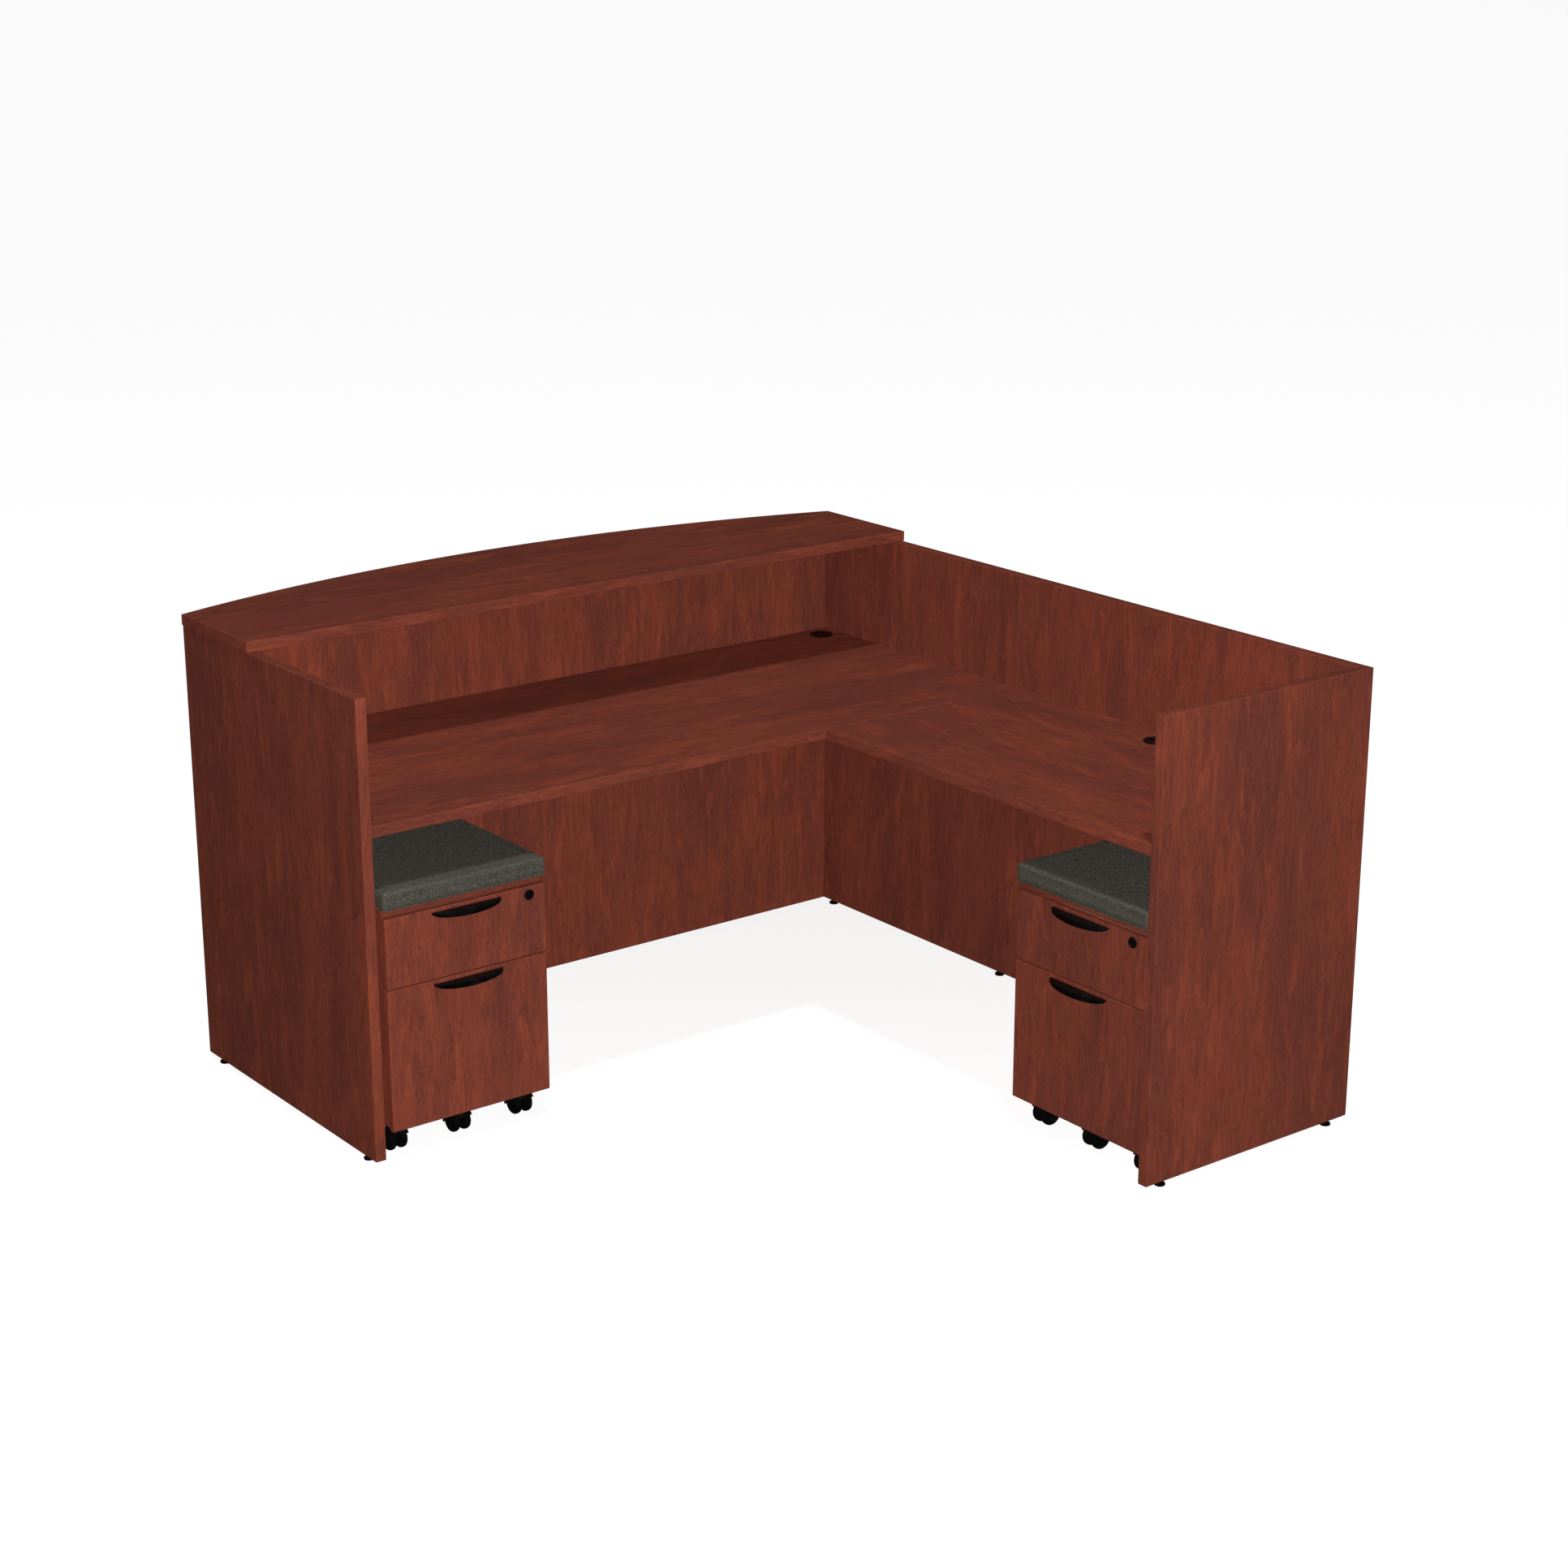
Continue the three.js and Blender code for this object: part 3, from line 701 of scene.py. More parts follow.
def wheel_rings(half_track):
    """Both wheels and their axle as one turned profile: hub boss, dished face, a tread whose
    radius is hub + (rim - hub) (1 - |u|^n)^(1/n) at u from its outer to its inner side, axle, and
    the same mirrored."""
    u = np.linspace(-0.94, 0.97, 13)
    bulge = (1 - np.abs(u) ** TREAD_POWER) ** (1 / TREAD_POWER)
    tread = np.column_stack([
        HUB_RADIUS + (WHEEL_RADIUS - HUB_RADIUS) * bulge,
        (half_track + TREAD_INNER) / 2 - (half_track - TREAD_INNER) / 2 * u,
    ])
    outside = np.concatenate([
        [[0.0012, half_track - 0.0016], [0.0042, half_track - 0.0017], [0.0052, half_track - 0.0026]],
        [[0.0060, half_track - 0.0044], [0.0150, half_track - 0.0040], [0.0166, half_track - 0.0022]],
        tread, [[0.0125, TREAD_INNER + 0.0006], [0.0040, TREAD_INNER + 0.0006]],
    ])
    return turned(np.concatenate([outside * [1, -1], outside[::-1]]), WHEEL_SIDES)


def swept(across, reach):
    """A section of (across, reach) swept about the axle from the hood's front lip to its back."""
    angle = np.linspace(HOOD_FROM, HOOD_TO, HOOD_STEPS)[:, None]
    level = np.broadcast_to(across, (HOOD_STEPS, len(across)))
    return np.stack([level, reach * np.cos(angle), reach * np.sin(angle)], axis=-1)


def hood_rings():
    """The hood's shell: its section is crowned outside and flat inside."""
    side, back = np.linspace(-1, 1, 17), np.linspace(1, -1, 9)
    crown = HOOD_OUTER - HOOD_CROWN * np.abs(side) ** CROWN_POWER
    return swept(
        HOOD_HALF * np.concatenate([side, 0.985 * back]),
        np.concatenate([crown, np.full(len(back), HOOD_INNER)]),
    )


def web_rings():
    """The web between the wheels: a sector from the hub to the hood, thickest at the hub."""
    return swept(
        np.array([-0.0034, -0.0030, 0.0030, 0.0034]), np.array([0.0045, 0.0270, 0.0270, 0.0045])
    )


def neck_rings(top):
    """The swivel housing: a collar flaring down into the hood, a waist and a bearing cup."""
    bottom = NECK_BOTTOM
    return turned([
        [0.0085, bottom], [0.0150, bottom], [0.0138, bottom + 0.0040], [0.0118, bottom + 0.0068],
        [0.0110, bottom + 0.0082], [0.0110, top - 0.0120], [0.0102, top - 0.0112],
        [0.0102, top - 0.0090], [0.0118, top - 0.0082], [0.0118, top - 0.0028],
        [0.0106, top - 0.0018], [0.0088, top - 0.0016], [0.0088, top],
    ], NECK_SIDES)


def plate_rings(centre, top):
    """A mounting plate: a small square sheet bored for the castor's stem."""
    low, high, foot = centre - PLATE_HALF, centre + PLATE_HALF, top - PLATE_THICK
    angles = ray_angles(low, high, centre, NECK_SIDES)
    edge = [
        (PLATE_EASE, foot), (0.0, foot + PLATE_EASE), (0.0, top - PLATE_EASE), (PLATE_EASE, top),
    ]
    rows = [
        level_ring(rectangle_at(low + inset, high - inset, centre, angles), height)
        for inset, height in edge
    ]
    bore = centre + STEM_BORE * rays(angles)
    return np.array(rows + [level_ring(bore, top), level_ring(bore, foot)])


def zinc_plate():
    """Zinc-plated sheet steel: cloudy plating, fine drawing lines along the strip."""
    finish, tree, shader, place = start_finish("zinc_plated_steel", Metallic=0.35)
    drawn = add_node(tree, "Mapping", {"Vector": place, "Scale": (1.0, 1.0, 9.0)}).outputs["Vector"]
    cloud = cloudy(tree, place, 45.0, 3.0, 0.6)
    lines = cloudy(tree, drawn, 700.0, 2.0)
    dull, bright = (0.42, 0.42, 0.43, 1.0), (0.525, 0.525, 0.5375, 1.0)
    tone = toned(tree, ranged(tree, cloud, 0.35, 0.65, 0.0, 1.0), dull, bright)
    tree.links.new(tone, shader.inputs["Base Color"])
    tree.links.new(ranged(tree, cloud, 0.3, 0.7, 0.34, 0.49), shader.inputs["Roughness"])
    tree.links.new(bumped(tree, lines, 0.00003), shader.inputs["Normal"])
    return finish


zinc_steel = zinc_plate()
castor_black = moulded_black("castor_hood_black", 1200.0, (0.0020, 0.0019, 0.0020), 0.40)

for side in SIDES:
    place = placed(side)
    base_bottom = own_box(side, "case_back_and_base")[0][2]
    for castor in CASTORS:
        hood_node, wheel_node = f"{side}_castor_{castor}_hood", f"{side}_castor_{castor}_wheels"
        low, high = own_box(side, f"castor_{castor}_wheels")
        axle = (low + high) / 2
        stem_top = own_box(side, f"castor_{castor}_hood")[1][2]
        stem = axle[:2] + [0.0, TRAIL]
        add_piece(
            f"{side}_{castor}_twin_wheels", shell(across_axle(wheel_rings((high[0] - low[0]) / 2), axle)),
            castor_tyre, wheel_node, [wheel_node], place,
        )
        neck = neck_rings(stem_top) + [*stem, 0.0]
        hood = together(shell(hood_rings() + axle), shell(web_rings() + axle), shell(neck))
        add_piece(
            f"{side}_{castor}_hood_shell", hood, castor_black, f"{side}_castor_{castor}_swivel",
            [hood_node], place,
        )
        carrier = f"{side}_file_drawer" if castor == "front_middle" else f"{side}_pedestal"
        plate = shell(plate_rings(stem, base_bottom - GAP), around=True)
        add_piece(
            f"{side}_{castor}_plate", plate, zinc_steel, carrier, place=place,
        )


# ---- Drawer trays and runners ---------------------------------------------------------------
# Each drawer is an open grey melamine box between two ball-bearing runners: a channel screwed to
# the case, and a smaller one on the tray that slides in it. The file drawer has two steel rails
# for hanging files, and a block under its floor for the fifth castor.

TRAY_WALL = 0.012
TRAY_FLOOR = 0.006
TRAY_CORNER = 0.002
RIM_EASE = 0.0012
BLOCK_HALF = 0.027
BLOCK_HEIGHT = 0.023
RUNNER_GAUGE = 0.0012
RUNNER_LIP = 0.0035
RUNNER_GAP = 0.0002
CASE_CHANNEL = {"half": 0.0225, "reach": 0.0105}
TRAY_CHANNEL = {"half": 0.0150, "reach": 0.0075}
RAIL_HALF, RAIL_HEIGHT, RAIL_PROUD = 0.0016, 0.012, 0.0075
RAIL_SETBACK, RAIL_CORNER = 0.004, 0.0006


def grey_melamine():
    """Pale grey melamine on the drawer boxes: faint mottle, scuffs, a slightly pebbled skin."""
    finish, tree, shader, place = start_finish("drawer_box", Specular_IOR_Level=0.4)
    mottle = cloudy(tree, place, 55.0, 4.0, 0.6)
    dark, pale, scuffed = (0.27, 0.26, 0.25, 1.0), (0.36, 0.35, 0.33, 1.0), (0.17, 0.16, 0.15, 1.0)
    tone = toned(tree, ranged(tree, mottle, 0.3, 0.7, 0.0, 1.0), dark, pale)
    scuffs = cloudy(tree, place, 260.0, 3.0, 0.7, 1.5)
    tone = toned(tree, ranged(tree, scuffs, 0.62, 0.75, 0.0, 0.4), tone, scuffed)
    tree.links.new(tone, shader.inputs["Base Color"])
    tree.links.new(ranged(tree, mottle, 0.3, 0.7, 0.42, 0.6), shader.inputs["Roughness"])
    tree.links.new(bumped(tree, cloudy(tree, place, 900.0), 0.00005), shader.inputs["Normal"])
    return finish


drawer_box = grey_melamine()


def tray_rings(low, high, floor):
    """An open box: the rounded outline carried up the outside, over an eased rim, and down the
    inside to the floor. The end faces are the tray's bottom and its inside floor."""
    outline_at = soft_outline(rectangle(low, high), TRAY_CORNER)
    rim, wall, ease = high[2], TRAY_WALL, RIM_EASE
    rows = [
        (ease, low[2]), (0.0, low[2] + ease), (0.0, rim - ease), (ease / 3, rim - ease / 3),
        (ease, rim), (wall - ease, rim), (wall - ease / 3, rim - ease / 3), (wall, rim - ease),
        (wall, floor + 0.0008), (wall + 0.0008, floor),
    ]
    return np.array([level_ring(outline_at(inset), height) for inset, height in rows])


def channel_rings(start, end, web_x, facing, middle_z, half, reach):
    """A C-shaped runner: the section (web, two flanges with rolled lips) carried along the
    drawer's travel. facing is +1 where it opens towards +x."""
    gauge, lip = RUNNER_GAUGE, half - RUNNER_LIP
    lower = np.array([
        [0, -half], [reach, -half], [reach, -lip], [reach - gauge, -lip],
        [reach - gauge, gauge - half], [gauge, gauge - half],
    ])
    section = np.concatenate([lower, lower[::-1] * [1, -1]])
    travel = np.array([start, end])[:, None]
    return np.stack([
        np.broadcast_to(web_x + facing * section[:, 0], (2, len(section))),
        np.broadcast_to(travel, (2, len(section))),
        np.broadcast_to(middle_z + section[:, 1], (2, len(section))),
    ], axis=-1)


def sheet_rings(corners, radius, thickness):
    """A thin plate on w = 0 with rounded corners and a small chamfer at both faces."""
    outline_at = soft_outline(corners, radius)
    rows = [(0.0003, 0.0), (0.0, 0.0003), (0.0, thickness - 0.0003), (0.0003, thickness)]
    return np.array([level_ring(outline_at(inset), height) for inset, height in rows])


def add_drawer(side, drawer):
    """A drawer's box, its two tray runners, and the case's two runners that they slide in."""
    place, body = placed(side), f"{side}_{drawer}"
    low, high = own_box(side, drawer + "_tray")
    lift = BLOCK_HEIGHT if drawer == "file_drawer" else 0.0
    underside = low[2] + lift
    box = shell(tray_rings([*low[:2], underside], high, underside + TRAY_FLOOR))
    if drawer == "file_drawer":
        wheels_low, wheels_high = own_box(side, "castor_front_middle_wheels")
        stem = np.array([0.0, (wheels_low[1] + wheels_high[1]) / 2 + TRAIL])
        block = soft_outline(rectangle(stem - BLOCK_HALF, stem + BLOCK_HALF), TRAY_CORNER)
        block_rings, _ = slab(block, lift - GAP)
        box = together(box, shell(block_rings + [0, 0, low[2]]))
    add_piece(f"{side}_{drawer}_box", box, drawer_box, body, [body + "_tray"], place)
    inner_face = own_box(side, "case_side_right")[0][0]
    middle = (low[2] + high[2]) / 2
    fixed, sliding = [], []
    for sign in (-1, 1):
        fixed.append(shell(channel_rings(
            low[1] + 0.012, high[1] + 0.012, sign * (inner_face - RUNNER_GAP), -sign, middle,
            **CASE_CHANNEL,
        )))
        sliding.append(shell(channel_rings(
            low[1] + 0.004, high[1] - 0.002, sign * (high[0] + RUNNER_GAP), sign, middle,
            **TRAY_CHANNEL,
        )))
    add_piece(
        f"{side}_{drawer}_case_runners", together(*fixed), zinc_steel, f"{side}_pedestal",
        place=place, crease=20,
    )
    add_piece(
        f"{side}_{drawer}_tray_runners", together(*sliding), zinc_steel, body,
        place=place, crease=20,
    )


for side in SIDES:
    for drawer in DRAWERS:
        add_drawer(side, drawer)
    low, high = own_box(side, "file_drawer_tray")
    rails = []
    for sign in (-1, 1):
        x = sign * (high[0] - TRAY_WALL / 2)
        rail = sheet_rings(rectangle(
            [x - RAIL_HALF, low[1] + RAIL_SETBACK], [x + RAIL_HALF, high[1] - RAIL_SETBACK],
        ), RAIL_CORNER, RAIL_HEIGHT)
        rails.append(shell(rail + [0, 0, high[2] + RAIL_PROUD - RAIL_HEIGHT]))
    add_piece(
        f"{side}_hanging_file_rails", together(*rails), zinc_steel, f"{side}_file_drawer",
        place=placed(side),
    )


# ---- Drawer fronts --------------------------------------------------------------------------
# Two laminated fronts to a pedestal, a box drawer above a file drawer, screwed on from inside
# the trays. The upper front is bored for the lock.

LOCK_BORE = 0.0094
BORE_INSET = 0.0105
for number, side in enumerate(SIDES):
    place, seed = placed(side), 200 + 20 * number
    node = side + "_file_drawer_front"
    corners = own_box(side, "file_drawer_front")
    add_board(
        side + "_file_front_board", *corners, THROUGH_Y, ALONG_Z, seed, side + "_file_drawer",
        [node], place,
    )
    low, high = own_box(side, "box_drawer_front")
    thickness = high[1] - low[1]
    lock_high = own_box(side, "lock_cylinder")[1]
    bore_centre = [lock_high[2] - BORE_INSET, lock_high[0] - BORE_INSET]
    rings, worn = bored_slab(
        [low[2], low[0]], [high[2], high[0]], bore_centre, thickness,
        [(LOCK_BORE, thickness), (LOCK_BORE, 0.0)],
    )
    rings[..., 2] += low[1]
    rings = np.roll(rings, THROUGH_Y + 1, axis=-1)
    add_laminated(
        side + "_box_front_board", rings, worn, ALONG_Z, seed + 1, side + "_box_drawer",
        [side + "_box_drawer_front"], place, around=True,
    )


# ---- Drawer pulls ---------------------------------------------------------------------------
# A black moulded crescent on each front: a flat ledge whose outer edge is half an ellipse, with
# a lip that hangs from it and deepens towards the middle. Fingers hook behind the lip.

PULL_WALL = 0.0035
LIP_AT_ENDS = 0.0021
LIP_POWER = 0.75
FULL_WALL_LIP = 0.0055
THINNEST_SHARE = 0.35
PULL_STEPS = 61


def pull_rings(half, reach, deepest):
    """The section at angle t runs along the ledge's top from the drawer, over the outer edge,
    down the lip, up behind it and back under the ledge. The lip deepens from the tips as
    sin(t)^0.75. A point at inset d and share k lies at ((half - d) cos t, -(reach - d) k sin t)."""
    t = np.linspace(0.0, np.pi, PULL_STEPS)[:, None]
    lip = LIP_AT_ENDS + (deepest - LIP_AT_ENDS) * np.clip(np.sin(t), 0.0, 1.0) ** LIP_POWER
    thin = np.clip(lip / FULL_WALL_LIP, THINNEST_SHARE, 1.0)
    wall = PULL_WALL
    inset = thin * np.array([
        wall, 0.0016, 0.0005, 0.0, 0.0, 0.0004, 0.0012, wall - 0.0010, wall - 0.0002, wall,
        wall + 0.0012, wall,
    ])
    under = thin * np.array([
        0.0, 0.0, 0.0005, 0.0016, -0.0012, -0.0004, 0.0, 0.0, -0.0006, wall + 0.0014, wall, wall,
    ])
    share = np.array([0, 1, 1, 1, 1, 1, 1, 1, 1, 1, 1, 0])
    hangs = np.array([0, 0, 0, 0, 1, 1, 1, 1, 1, 0, 0, 0])
    return np.stack([
        (half - inset) * np.cos(t), -(reach - inset) * share * np.sin(t), -(under + hangs * lip),
    ], axis=-1)


for side in SIDES:
    for drawer in DRAWERS:
        low, high = own_box(side, drawer + "_pull")
        rings = pull_rings((high[0] - low[0]) / 2, high[1] - low[1], high[2] - low[2])
        rings = rings + [(low[0] + high[0]) / 2, high[1], high[2]]
        add_piece(
            f"{side}_{drawer}_crescent_pull", shell(rings), black_plastic, f"{side}_{drawer}",
            [f"{side}_{drawer}_pull"], placed(side),
        )


# ---- Locks ----------------------------------------------------------------------------------
# A black cam lock in the top right corner of each box drawer: a chamfered head with a keyway,
# a barrel through the front, and a cam on its inner end that locks both drawers.

KEYWAY_HALF_LENGTH = 0.0046
KEYWAY_HALF_WIDTH = 0.0013
BARREL_RADIUS = 0.009
CAM_TIP, CAM_HALF, CAM_CORNER = 0.014, 0.0035, 0.001
CAM_THICK, CAM_SEAT = 0.0024, 0.0026
LOCK_SIDES = 48


def lock_rings(head, proud, depth):
    """From the keyway's floor up its wall, out over the face, down the chamfered head, and back
    along the barrel; height is how far a ring stands out of the drawer front."""
    angles = even_angles(LOCK_SIDES)
    keyway = slot_ring(KEYWAY_HALF_LENGTH, KEYWAY_HALF_WIDTH, angles)
    circle = rays(angles)
    face = proud - 0.0001
    rows = [
        (keyway, proud - 0.0020), (keyway, proud - 0.0003), (keyway * 1.12, face),
        (circle * 0.0066, face), (circle * 0.0069, proud - 0.0006),
        (circle * 0.0073, proud - 0.0006), (circle * 0.0076, proud), (circle * (head - 0.0012), proud),
        (circle * (head - 0.0004), proud - 0.0005), (circle * head, proud - 0.0014),
        (circle * head, 0.0003), (circle * BARREL_RADIUS, 0.0003), (circle * BARREL_RADIUS, -depth),
    ]
    return np.array([level_ring(flat, height) for flat, height in rows])


lock_black = moulded_black("lock_black_metal", 700.0, (0.0028, 0.0024, 0.0024), 0.33)
for side in SIDES:
    low, high = own_box(side, "lock_cylinder")
    head = (high[2] - low[2]) / 2
    centre_x, centre_z = high[0] - head, (low[2] + high[2]) / 2
    rings = lock_rings(head, -low[1], high[1] - CAM_SEAT)
    rings = np.stack([rings[..., 1], -rings[..., 2], rings[..., 0]], axis=-1)
    cam = sheet_rings(rectangle([-CAM_TIP, -CAM_HALF], [CAM_HALF, CAM_HALF]), CAM_CORNER, CAM_THICK)
    cam = np.stack([cam[..., 0] + centre_x, high[1] - cam[..., 2], cam[..., 1] + centre_z], axis=-1)
    lock = together(shell(rings + [centre_x, 0.0, centre_z]), shell(cam))
    add_piece(
        side + "_cam_lock", lock, lock_black, side + "_lock",
        [side + "_lock_cylinder"], placed(side),
    )


# ---- Seat cushions --------------------------------------------------------------------------
# A firm box cushion on each pedestal: foam on a board in a tight woven cover, boxed with a band
# that is sewn to the top and bottom panels. The seams hold the edges while the panels swell.

CUSHION_CORNER = 0.006
ROLL_IN, ROLL_DOWN = 0.0125, 0.0088
BOTTOM_EASE = 0.0020
CORNER_POINTS = 7
ROOM_TO_SWELL = 0.0022
SEAM_RADIUS = 0.0011
SEAM_RISE = 0.0022
SEAM_SIDES = 10
VOXEL = 0.0045
HELD_REACH = 0.010
PRESSURE = 4.0
CLOTH_FRAMES = 20
SWELL_LIMIT = 0.0020
YARN_APART = 0.0013


def round_cornered(low, high, radius):
    """A rectangle with round corners, anticlockwise: a quarter circle about each one's centre."""
    turn = np.linspace(0, np.pi / 2, CORNER_POINTS)[None, :]
    start = np.array([np.pi, 1.5 * np.pi, 0.0, 0.5 * np.pi])[:, None]
    centres = np.array(rectangle(np.array(low) + radius, np.array(high) - radius))[:, None, :]
    arcs = radius * np.stack([np.cos(start + turn), np.sin(start + turn)], axis=-1)
    return (centres + arcs).reshape(-1, 2)


def cushion_block(low, high):
    """The unswollen cushion: a round-cornered outline carried up a small quarter-round, a straight
    side, and a roll where the inset grows as 1 - cos and the height as sin of the same angle."""
    turn = np.linspace(0, np.pi / 2, CORNER_POINTS)
    inset = np.concatenate([BOTTOM_EASE * (1 - np.sin(turn[::2])), ROLL_IN * (1 - np.cos(turn))])
    height = np.concatenate([
        low[2] + BOTTOM_EASE * (1 - np.cos(turn[::2])), high[2] - ROLL_DOWN * (1 - np.sin(turn)),
    ])
    return np.array([
        level_ring(round_cornered(low[:2] + d, high[:2] - d, max(CUSHION_CORNER - d / 2, 0.001)), h)
        for d, h in zip(inset, height)
    ])


def finished_mesh(piece):
    """The piece's mesh with its modifiers applied."""
    bpy.context.view_layer.update()
    graph = bpy.context.evaluated_depsgraph_get()
    return bpy.data.meshes.new_from_object(piece.evaluated_get(graph))


def points_of(mesh):
    """The mesh's points as rows."""
    flat = np.empty(3 * len(mesh.vertices))
    mesh.vertices.foreach_get("co", flat)
    return flat.reshape(-1, 3)


def seam_distance(points, low, high):
    """How far each point is from the nearer sewn line: its distance in from the sides combined
    with its height from the bottom edge, or from the line where the top edge starts to roll."""
    middle, half = (low[:2] + high[:2]) / 2, (high[:2] - low[:2]) / 2
    inwards = (half - np.abs(points[:, :2] - middle)).min(axis=1)
    roll = high[2] - ROLL_DOWN
    level = np.minimum(np.abs(points[:, 2] - low[2]), np.abs(points[:, 2] - roll))
    return np.hypot(inwards, level)


def swollen(low, high):
    """The cushion's points and faces in the pedestal's own frame: the block remeshed, swelled by
    pressure as cloth held at its seams, limited, and subdivided once."""
    points, faces = shell(cushion_block(low, high))
    mesh = bpy.data.meshes.new("cushion_form")
    mesh.from_pydata(points.tolist(), [], faces)
    form = bpy.data.objects.new("cushion_form", mesh)
    bpy.context.scene.collection.objects.link(form)
    remesh = form.modifiers.new("cells", "REMESH")
    remesh.mode = "VOXEL"
    remesh.voxel_size = VOXEL
    form.data = finished_mesh(form)
    form.modifiers.clear()
    rest = points_of(form.data)
    from_seam = seam_distance(rest, low, high)
    held = np.clip(1.25 - from_seam / HELD_REACH, 0, 1)
    group = form.vertex_groups.new(name="sewn")
    for share in np.linspace(0.1, 1.0, 10):
        chosen = np.nonzero(np.abs(held - share) <= 0.05)[0]
        if len(chosen):
            group.add(chosen.tolist(), float(share), "REPLACE")
    cloth = form.modifiers.new("swell", "CLOTH")
    cloth.settings.use_pressure = True
    cloth.settings.uniform_pressure_force = PRESSURE
    cloth.settings.vertex_group_mass = "sewn"
    cloth.settings.effector_weights.gravity = 0.0
    cloth.settings.quality = 5
    scene = bpy.context.scene
    for step in range(CLOTH_FRAMES):
        scene.frame_set(1 + step)
    moved = points_of(finished_mesh(form)) - rest
    scene.frame_set(1)
    form.modifiers.clear()
    length = np.linalg.norm(moved, axis=1, keepdims=True)
    swelled = rest + moved * np.minimum(1.0, SWELL_LIMIT / np.maximum(length, TINY))
    form.data.vertices.foreach_set("co", swelled.ravel())
    finer = form.modifiers.new("finer", "SUBSURF")
    finer.levels = finer.render_levels = 1
    final = finished_mesh(form)
    bpy.data.objects.remove(form)
    return points_of(final), [list(polygon.vertices) for polygon in final.polygons]


def woven_cover():
    """Close plain-weave upholstery in charcoal olive: yarns YARN_APART both ways, each pick a
    little lighter or darker, and flecks of paler and darker yarn. A wave of scale 1 repeats
    every pi / 10 metres."""
    finish, tree, shader, place = start_finish("woven_cushion_cover", Specular_IOR_Level=0.05)
    inputs = {"Vector": place, "Scale": 160.0, "Detail": 2.0}
    uneven = add_node(tree, "TexNoise", inputs).outputs["Color"]
    shifted = toned(tree, 0.0007, place, uneven, "ADD")
    waves = []
    for axis in "XYZ":
        inputs = {"Vector": shifted, "Scale": math.pi / 10 / YARN_APART}
        waves.append(add_node(tree, "TexWave", inputs, bands_direction=axis).outputs["Fac"])
    pair = add_node(tree, "Math", {0: waves[0], 1: waves[1]}, operation="ADD").outputs["Value"]
    weave = add_node(tree, "Math", {0: pair, 1: waves[2]}, operation="ADD").outputs["Value"]
    fleck = cloudy(tree, place, 420.0, 2.0, 0.75)
    worn = cloudy(tree, place, 14.0, 3.0, 0.55)
    dark, pale = (0.040, 0.0382, 0.0310, 1.0), (0.077, 0.0722, 0.0580, 1.0)
    tone = toned(tree, ranged(tree, weave, 0.7, 2.3, 0.0, 1.0), dark, pale)
    tone = toned(tree, ranged(tree, fleck, 0.53, 0.68, 0.0, 0.75), tone, (0.175, 0.165, 0.135, 1.0))
    tone = toned(tree, ranged(tree, fleck, 0.47, 0.33, 0.0, 0.75), tone, (0.012, 0.0115, 0.0092, 1.0))
    tone = toned(tree, ranged(tree, worn, 0.4, 0.7, 0.0, 0.25), tone, (0.084, 0.079, 0.065, 1.0))
    tree.links.new(tone, shader.inputs["Base Color"])
    tree.links.new(ranged(tree, worn, 0.3, 0.7, 0.85, 0.95), shader.inputs["Roughness"])
    tree.links.new(bumped(tree, weave, 0.0003), shader.inputs["Normal"])
    return finish


def seam_rings(low, high, height):
    """A thin rolled seam: a circle of the seam's radius carried round the cushion's outline."""
    outline = moved_in(round_cornered(low, high, CUSHION_CORNER), 0.0013)
    outwards = outline - moved_in(outline, 0.001)
    outwards /= np.linalg.norm(outwards, axis=1, keepdims=True)
    turn = even_angles(SEAM_SIDES)[:, None, None]
    flat = outline + SEAM_RADIUS * np.cos(turn) * outwards
    level = np.broadcast_to(height + SEAM_RADIUS * np.sin(turn), flat.shape[:2] + (1,))
    return np.concatenate([flat, level], axis=-1)


woven = woven_cover()
low, high = own_box("left", "seat_cushion")
form_low = low + [ROOM_TO_SWELL, ROOM_TO_SWELL, 0.0004]
form_high = high - ROOM_TO_SWELL
cover_points, cover_faces = swollen(form_low, form_high)
cover_points[:, 2] = np.maximum(cover_points[:, 2], low[2])
seams = together(*(
    shell(seam_rings(form_low[:2], form_high[:2], height), around=True)
    for height in (form_high[2] - ROLL_DOWN, form_low[2] + SEAM_RISE)
))
for side in SIDES:
    place, body = placed(side), side + "_pedestal"
    cushion = add_piece(
        side + "_cushion_cover", (cover_points, cover_faces), woven, body,
        [side + "_seat_cushion"], place, crease=180,
    )
    add_piece(
        side + "_cushion_seams", seams, woven, body, place=place, crease=180
    )


# ---- Floor ----------------------------------------------------------------------------------
# A plain pale studio floor that runs far out and then curves up into a backdrop all round.

FLOOR_RADIUS = 58.0
COVE_RADIUS = 32.0
COVE_STEPS = 13
FLOOR_SIDES = 96


def floor_rings():
    """Circles about the middle: one for the flat floor's rim, then a quarter circle up, whose
    radius grows as sin and height as 1 - cos of the same angle."""
    turn = np.linspace(0, np.pi / 2, COVE_STEPS)
    profile = np.column_stack([
        FLOOR_RADIUS + COVE_RADIUS * np.sin(turn), COVE_RADIUS * (1 - np.cos(turn)),
    ])
    return turned(profile, FLOOR_SIDES)


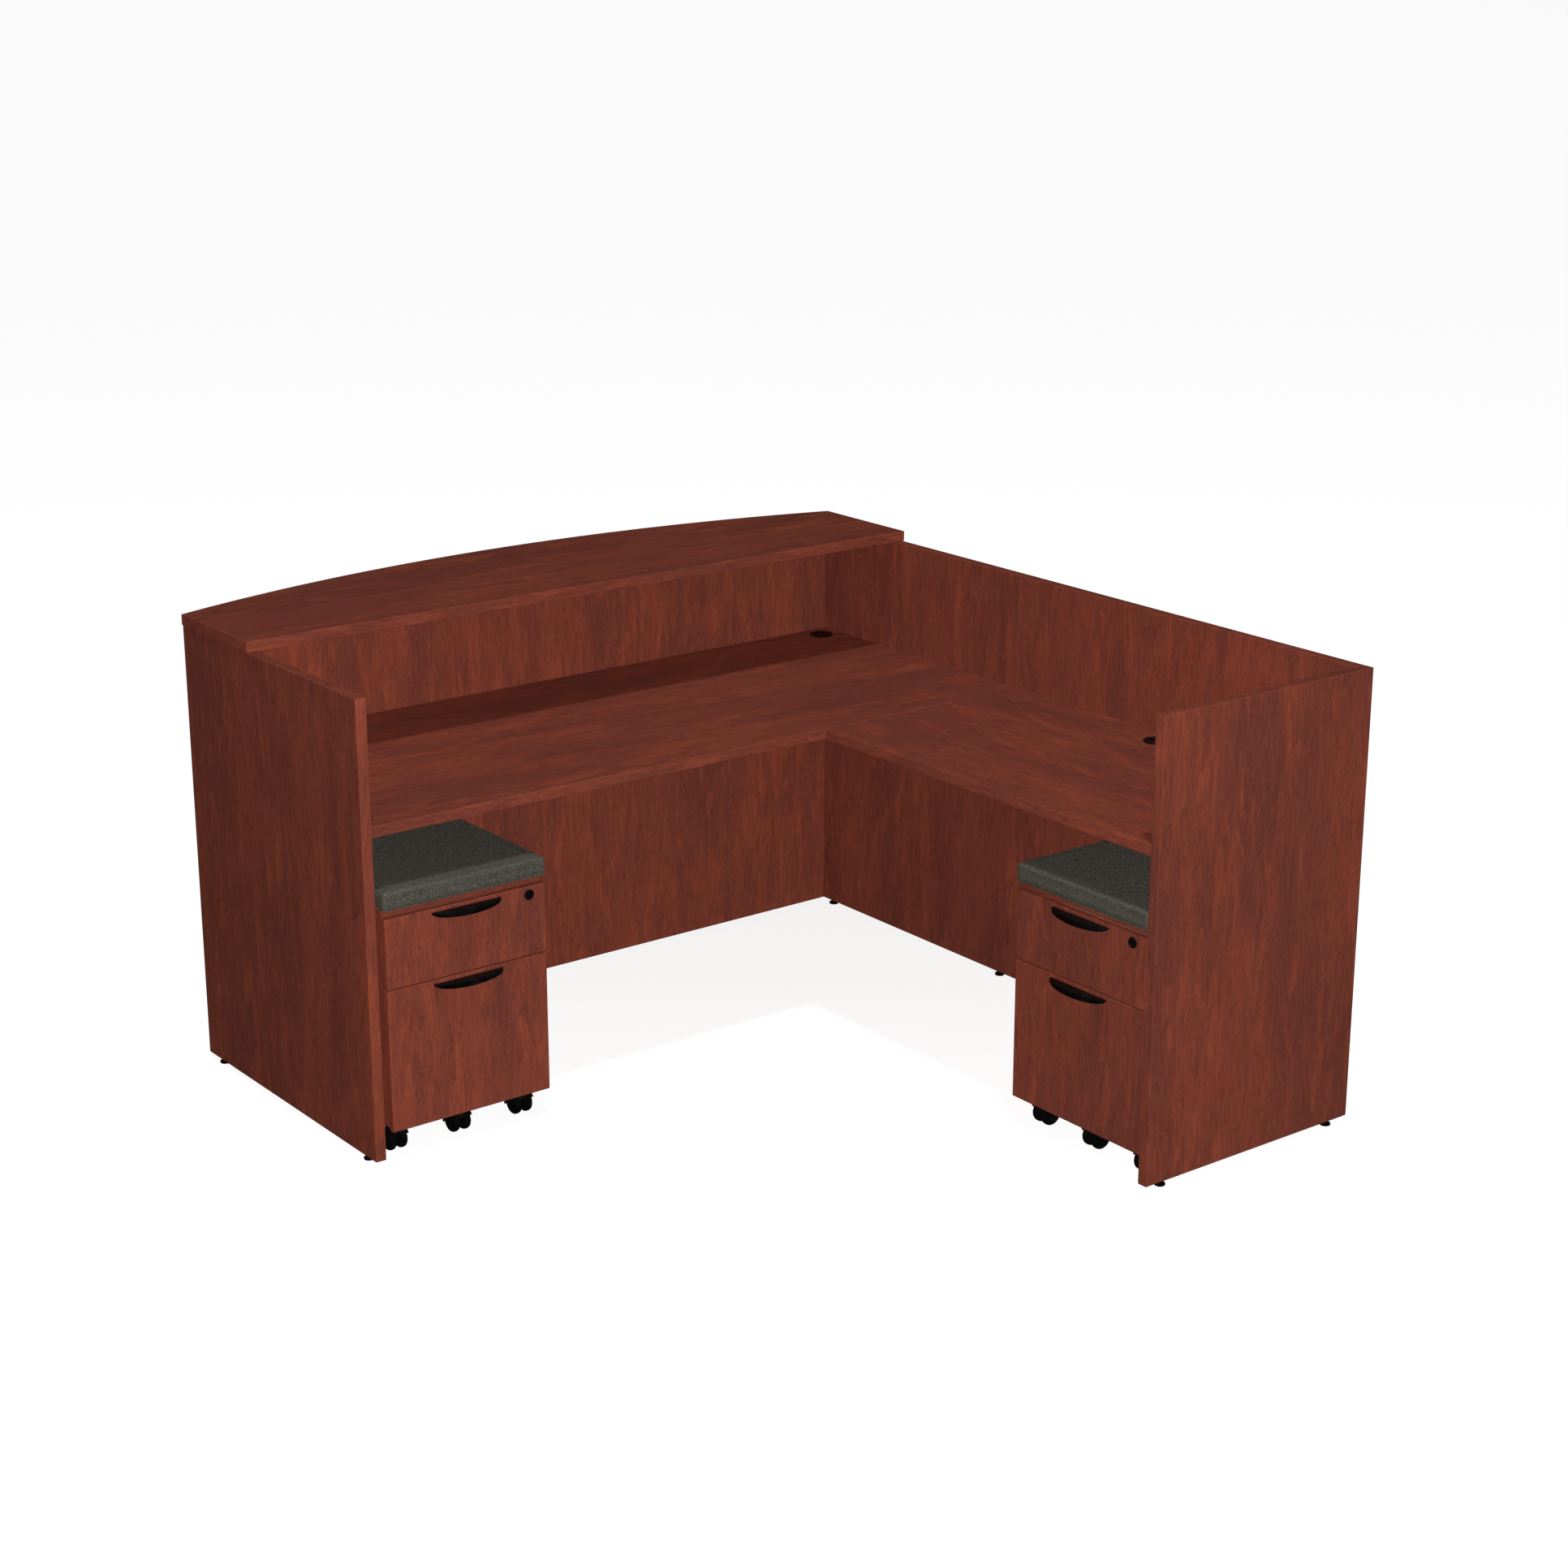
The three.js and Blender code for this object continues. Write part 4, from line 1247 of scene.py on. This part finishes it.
floor_mesh = bpy.data.meshes.new("studio_floor")
floor_points = floor_rings()
floor_faces = [list(range(FLOOR_SIDES))] + [face[::-1] for face in joined_quads(floor_points)]
floor_mesh.from_pydata(floor_points.reshape(-1, 3).tolist(), [], floor_faces)
floor_mesh.shade_smooth()
floor = bpy.data.objects.new("studio_floor", floor_mesh)
bpy.context.scene.collection.objects.link(floor)
floor_finish = start_finish(
    "studio_floor", Base_Color=(0.45, 0.45, 0.45, 1.0), Roughness=0.9, Specular_IOR_Level=0.0,
    Emission_Color=(1.0, 1.0, 1.0, 1.0), Emission_Strength=0.68,
)[0]
floor_mesh.materials.append(floor_finish)
floor.visible_diffuse = False
floor.visible_glossy = False


# ---- Light ----------------------------------------------------------------------------------
# A high key light throws the only shadows, and only it is mirrored in the surfaces. A big soft
# lamp beside the camera fills the knee space, two lamps light the desk's back and outer side,
# and a faint glow comes from all round.

scene = bpy.context.scene
scene.view_settings.view_transform = "Standard"
world = bpy.data.worlds.new("studio")
world.use_nodes = True
world.node_tree.nodes["Background"].inputs["Color"].default_value = (1.0, 1.0, 1.0, 1.0)
world.node_tree.nodes["Background"].inputs["Strength"].default_value = 0.11
world.cycles_visibility.glossy = False
scene.world = world


def add_light(name, kind, energy, towards, place=(0.0, 0.0, 3.0), mirrored=False, **settings):
    """A light that shines towards a direction from a place; mirrored says if gloss shows it."""
    data = bpy.data.lights.new(name, kind)
    data.energy = energy
    for setting, value in settings.items():
        setattr(data, setting, value)
    light = bpy.data.objects.new(name, data)
    light.location = place
    light.visible_glossy = mirrored
    light.rotation_euler = mathutils.Vector(towards).to_track_quat("-Z", "Y").to_euler()
    scene.collection.objects.link(light)


add_light("key", "SUN", 1.5, (1.4, 2.6, -11.0), mirrored=True, angle=math.radians(4.0))
add_light(
    "camera_side_lamp", "POINT", 2650.0, (0, 1, 0), (-3.92, -5.42, 3.25),
    shadow_soft_size=0.6, use_shadow=False,
)
wide = math.radians(20.0)
add_light("back_lamp", "SUN", 2.4, (-0.35, -1.0, 0.0), angle=wide, use_shadow=False)
add_light("outer_side_lamp", "SUN", 1.5, (-1.0, 0.15, 0.0), angle=wide, use_shadow=False)


# ---- Camera ---------------------------------------------------------------------------------
# Looks down over the clerk's left shoulder.

camera_data = bpy.data.cameras.new("camera")
camera_data.sensor_width = 36.0
camera_data.lens = 66.018
camera_data.clip_end = 2000.0
camera = bpy.data.objects.new("camera", camera_data)
camera.location = (-3.6495, -4.9181, 2.6147)
camera.rotation_euler = (math.radians(90 - 17.295), 0.0, math.radians(-37.45))
scene.collection.objects.link(camera)
scene.camera = camera
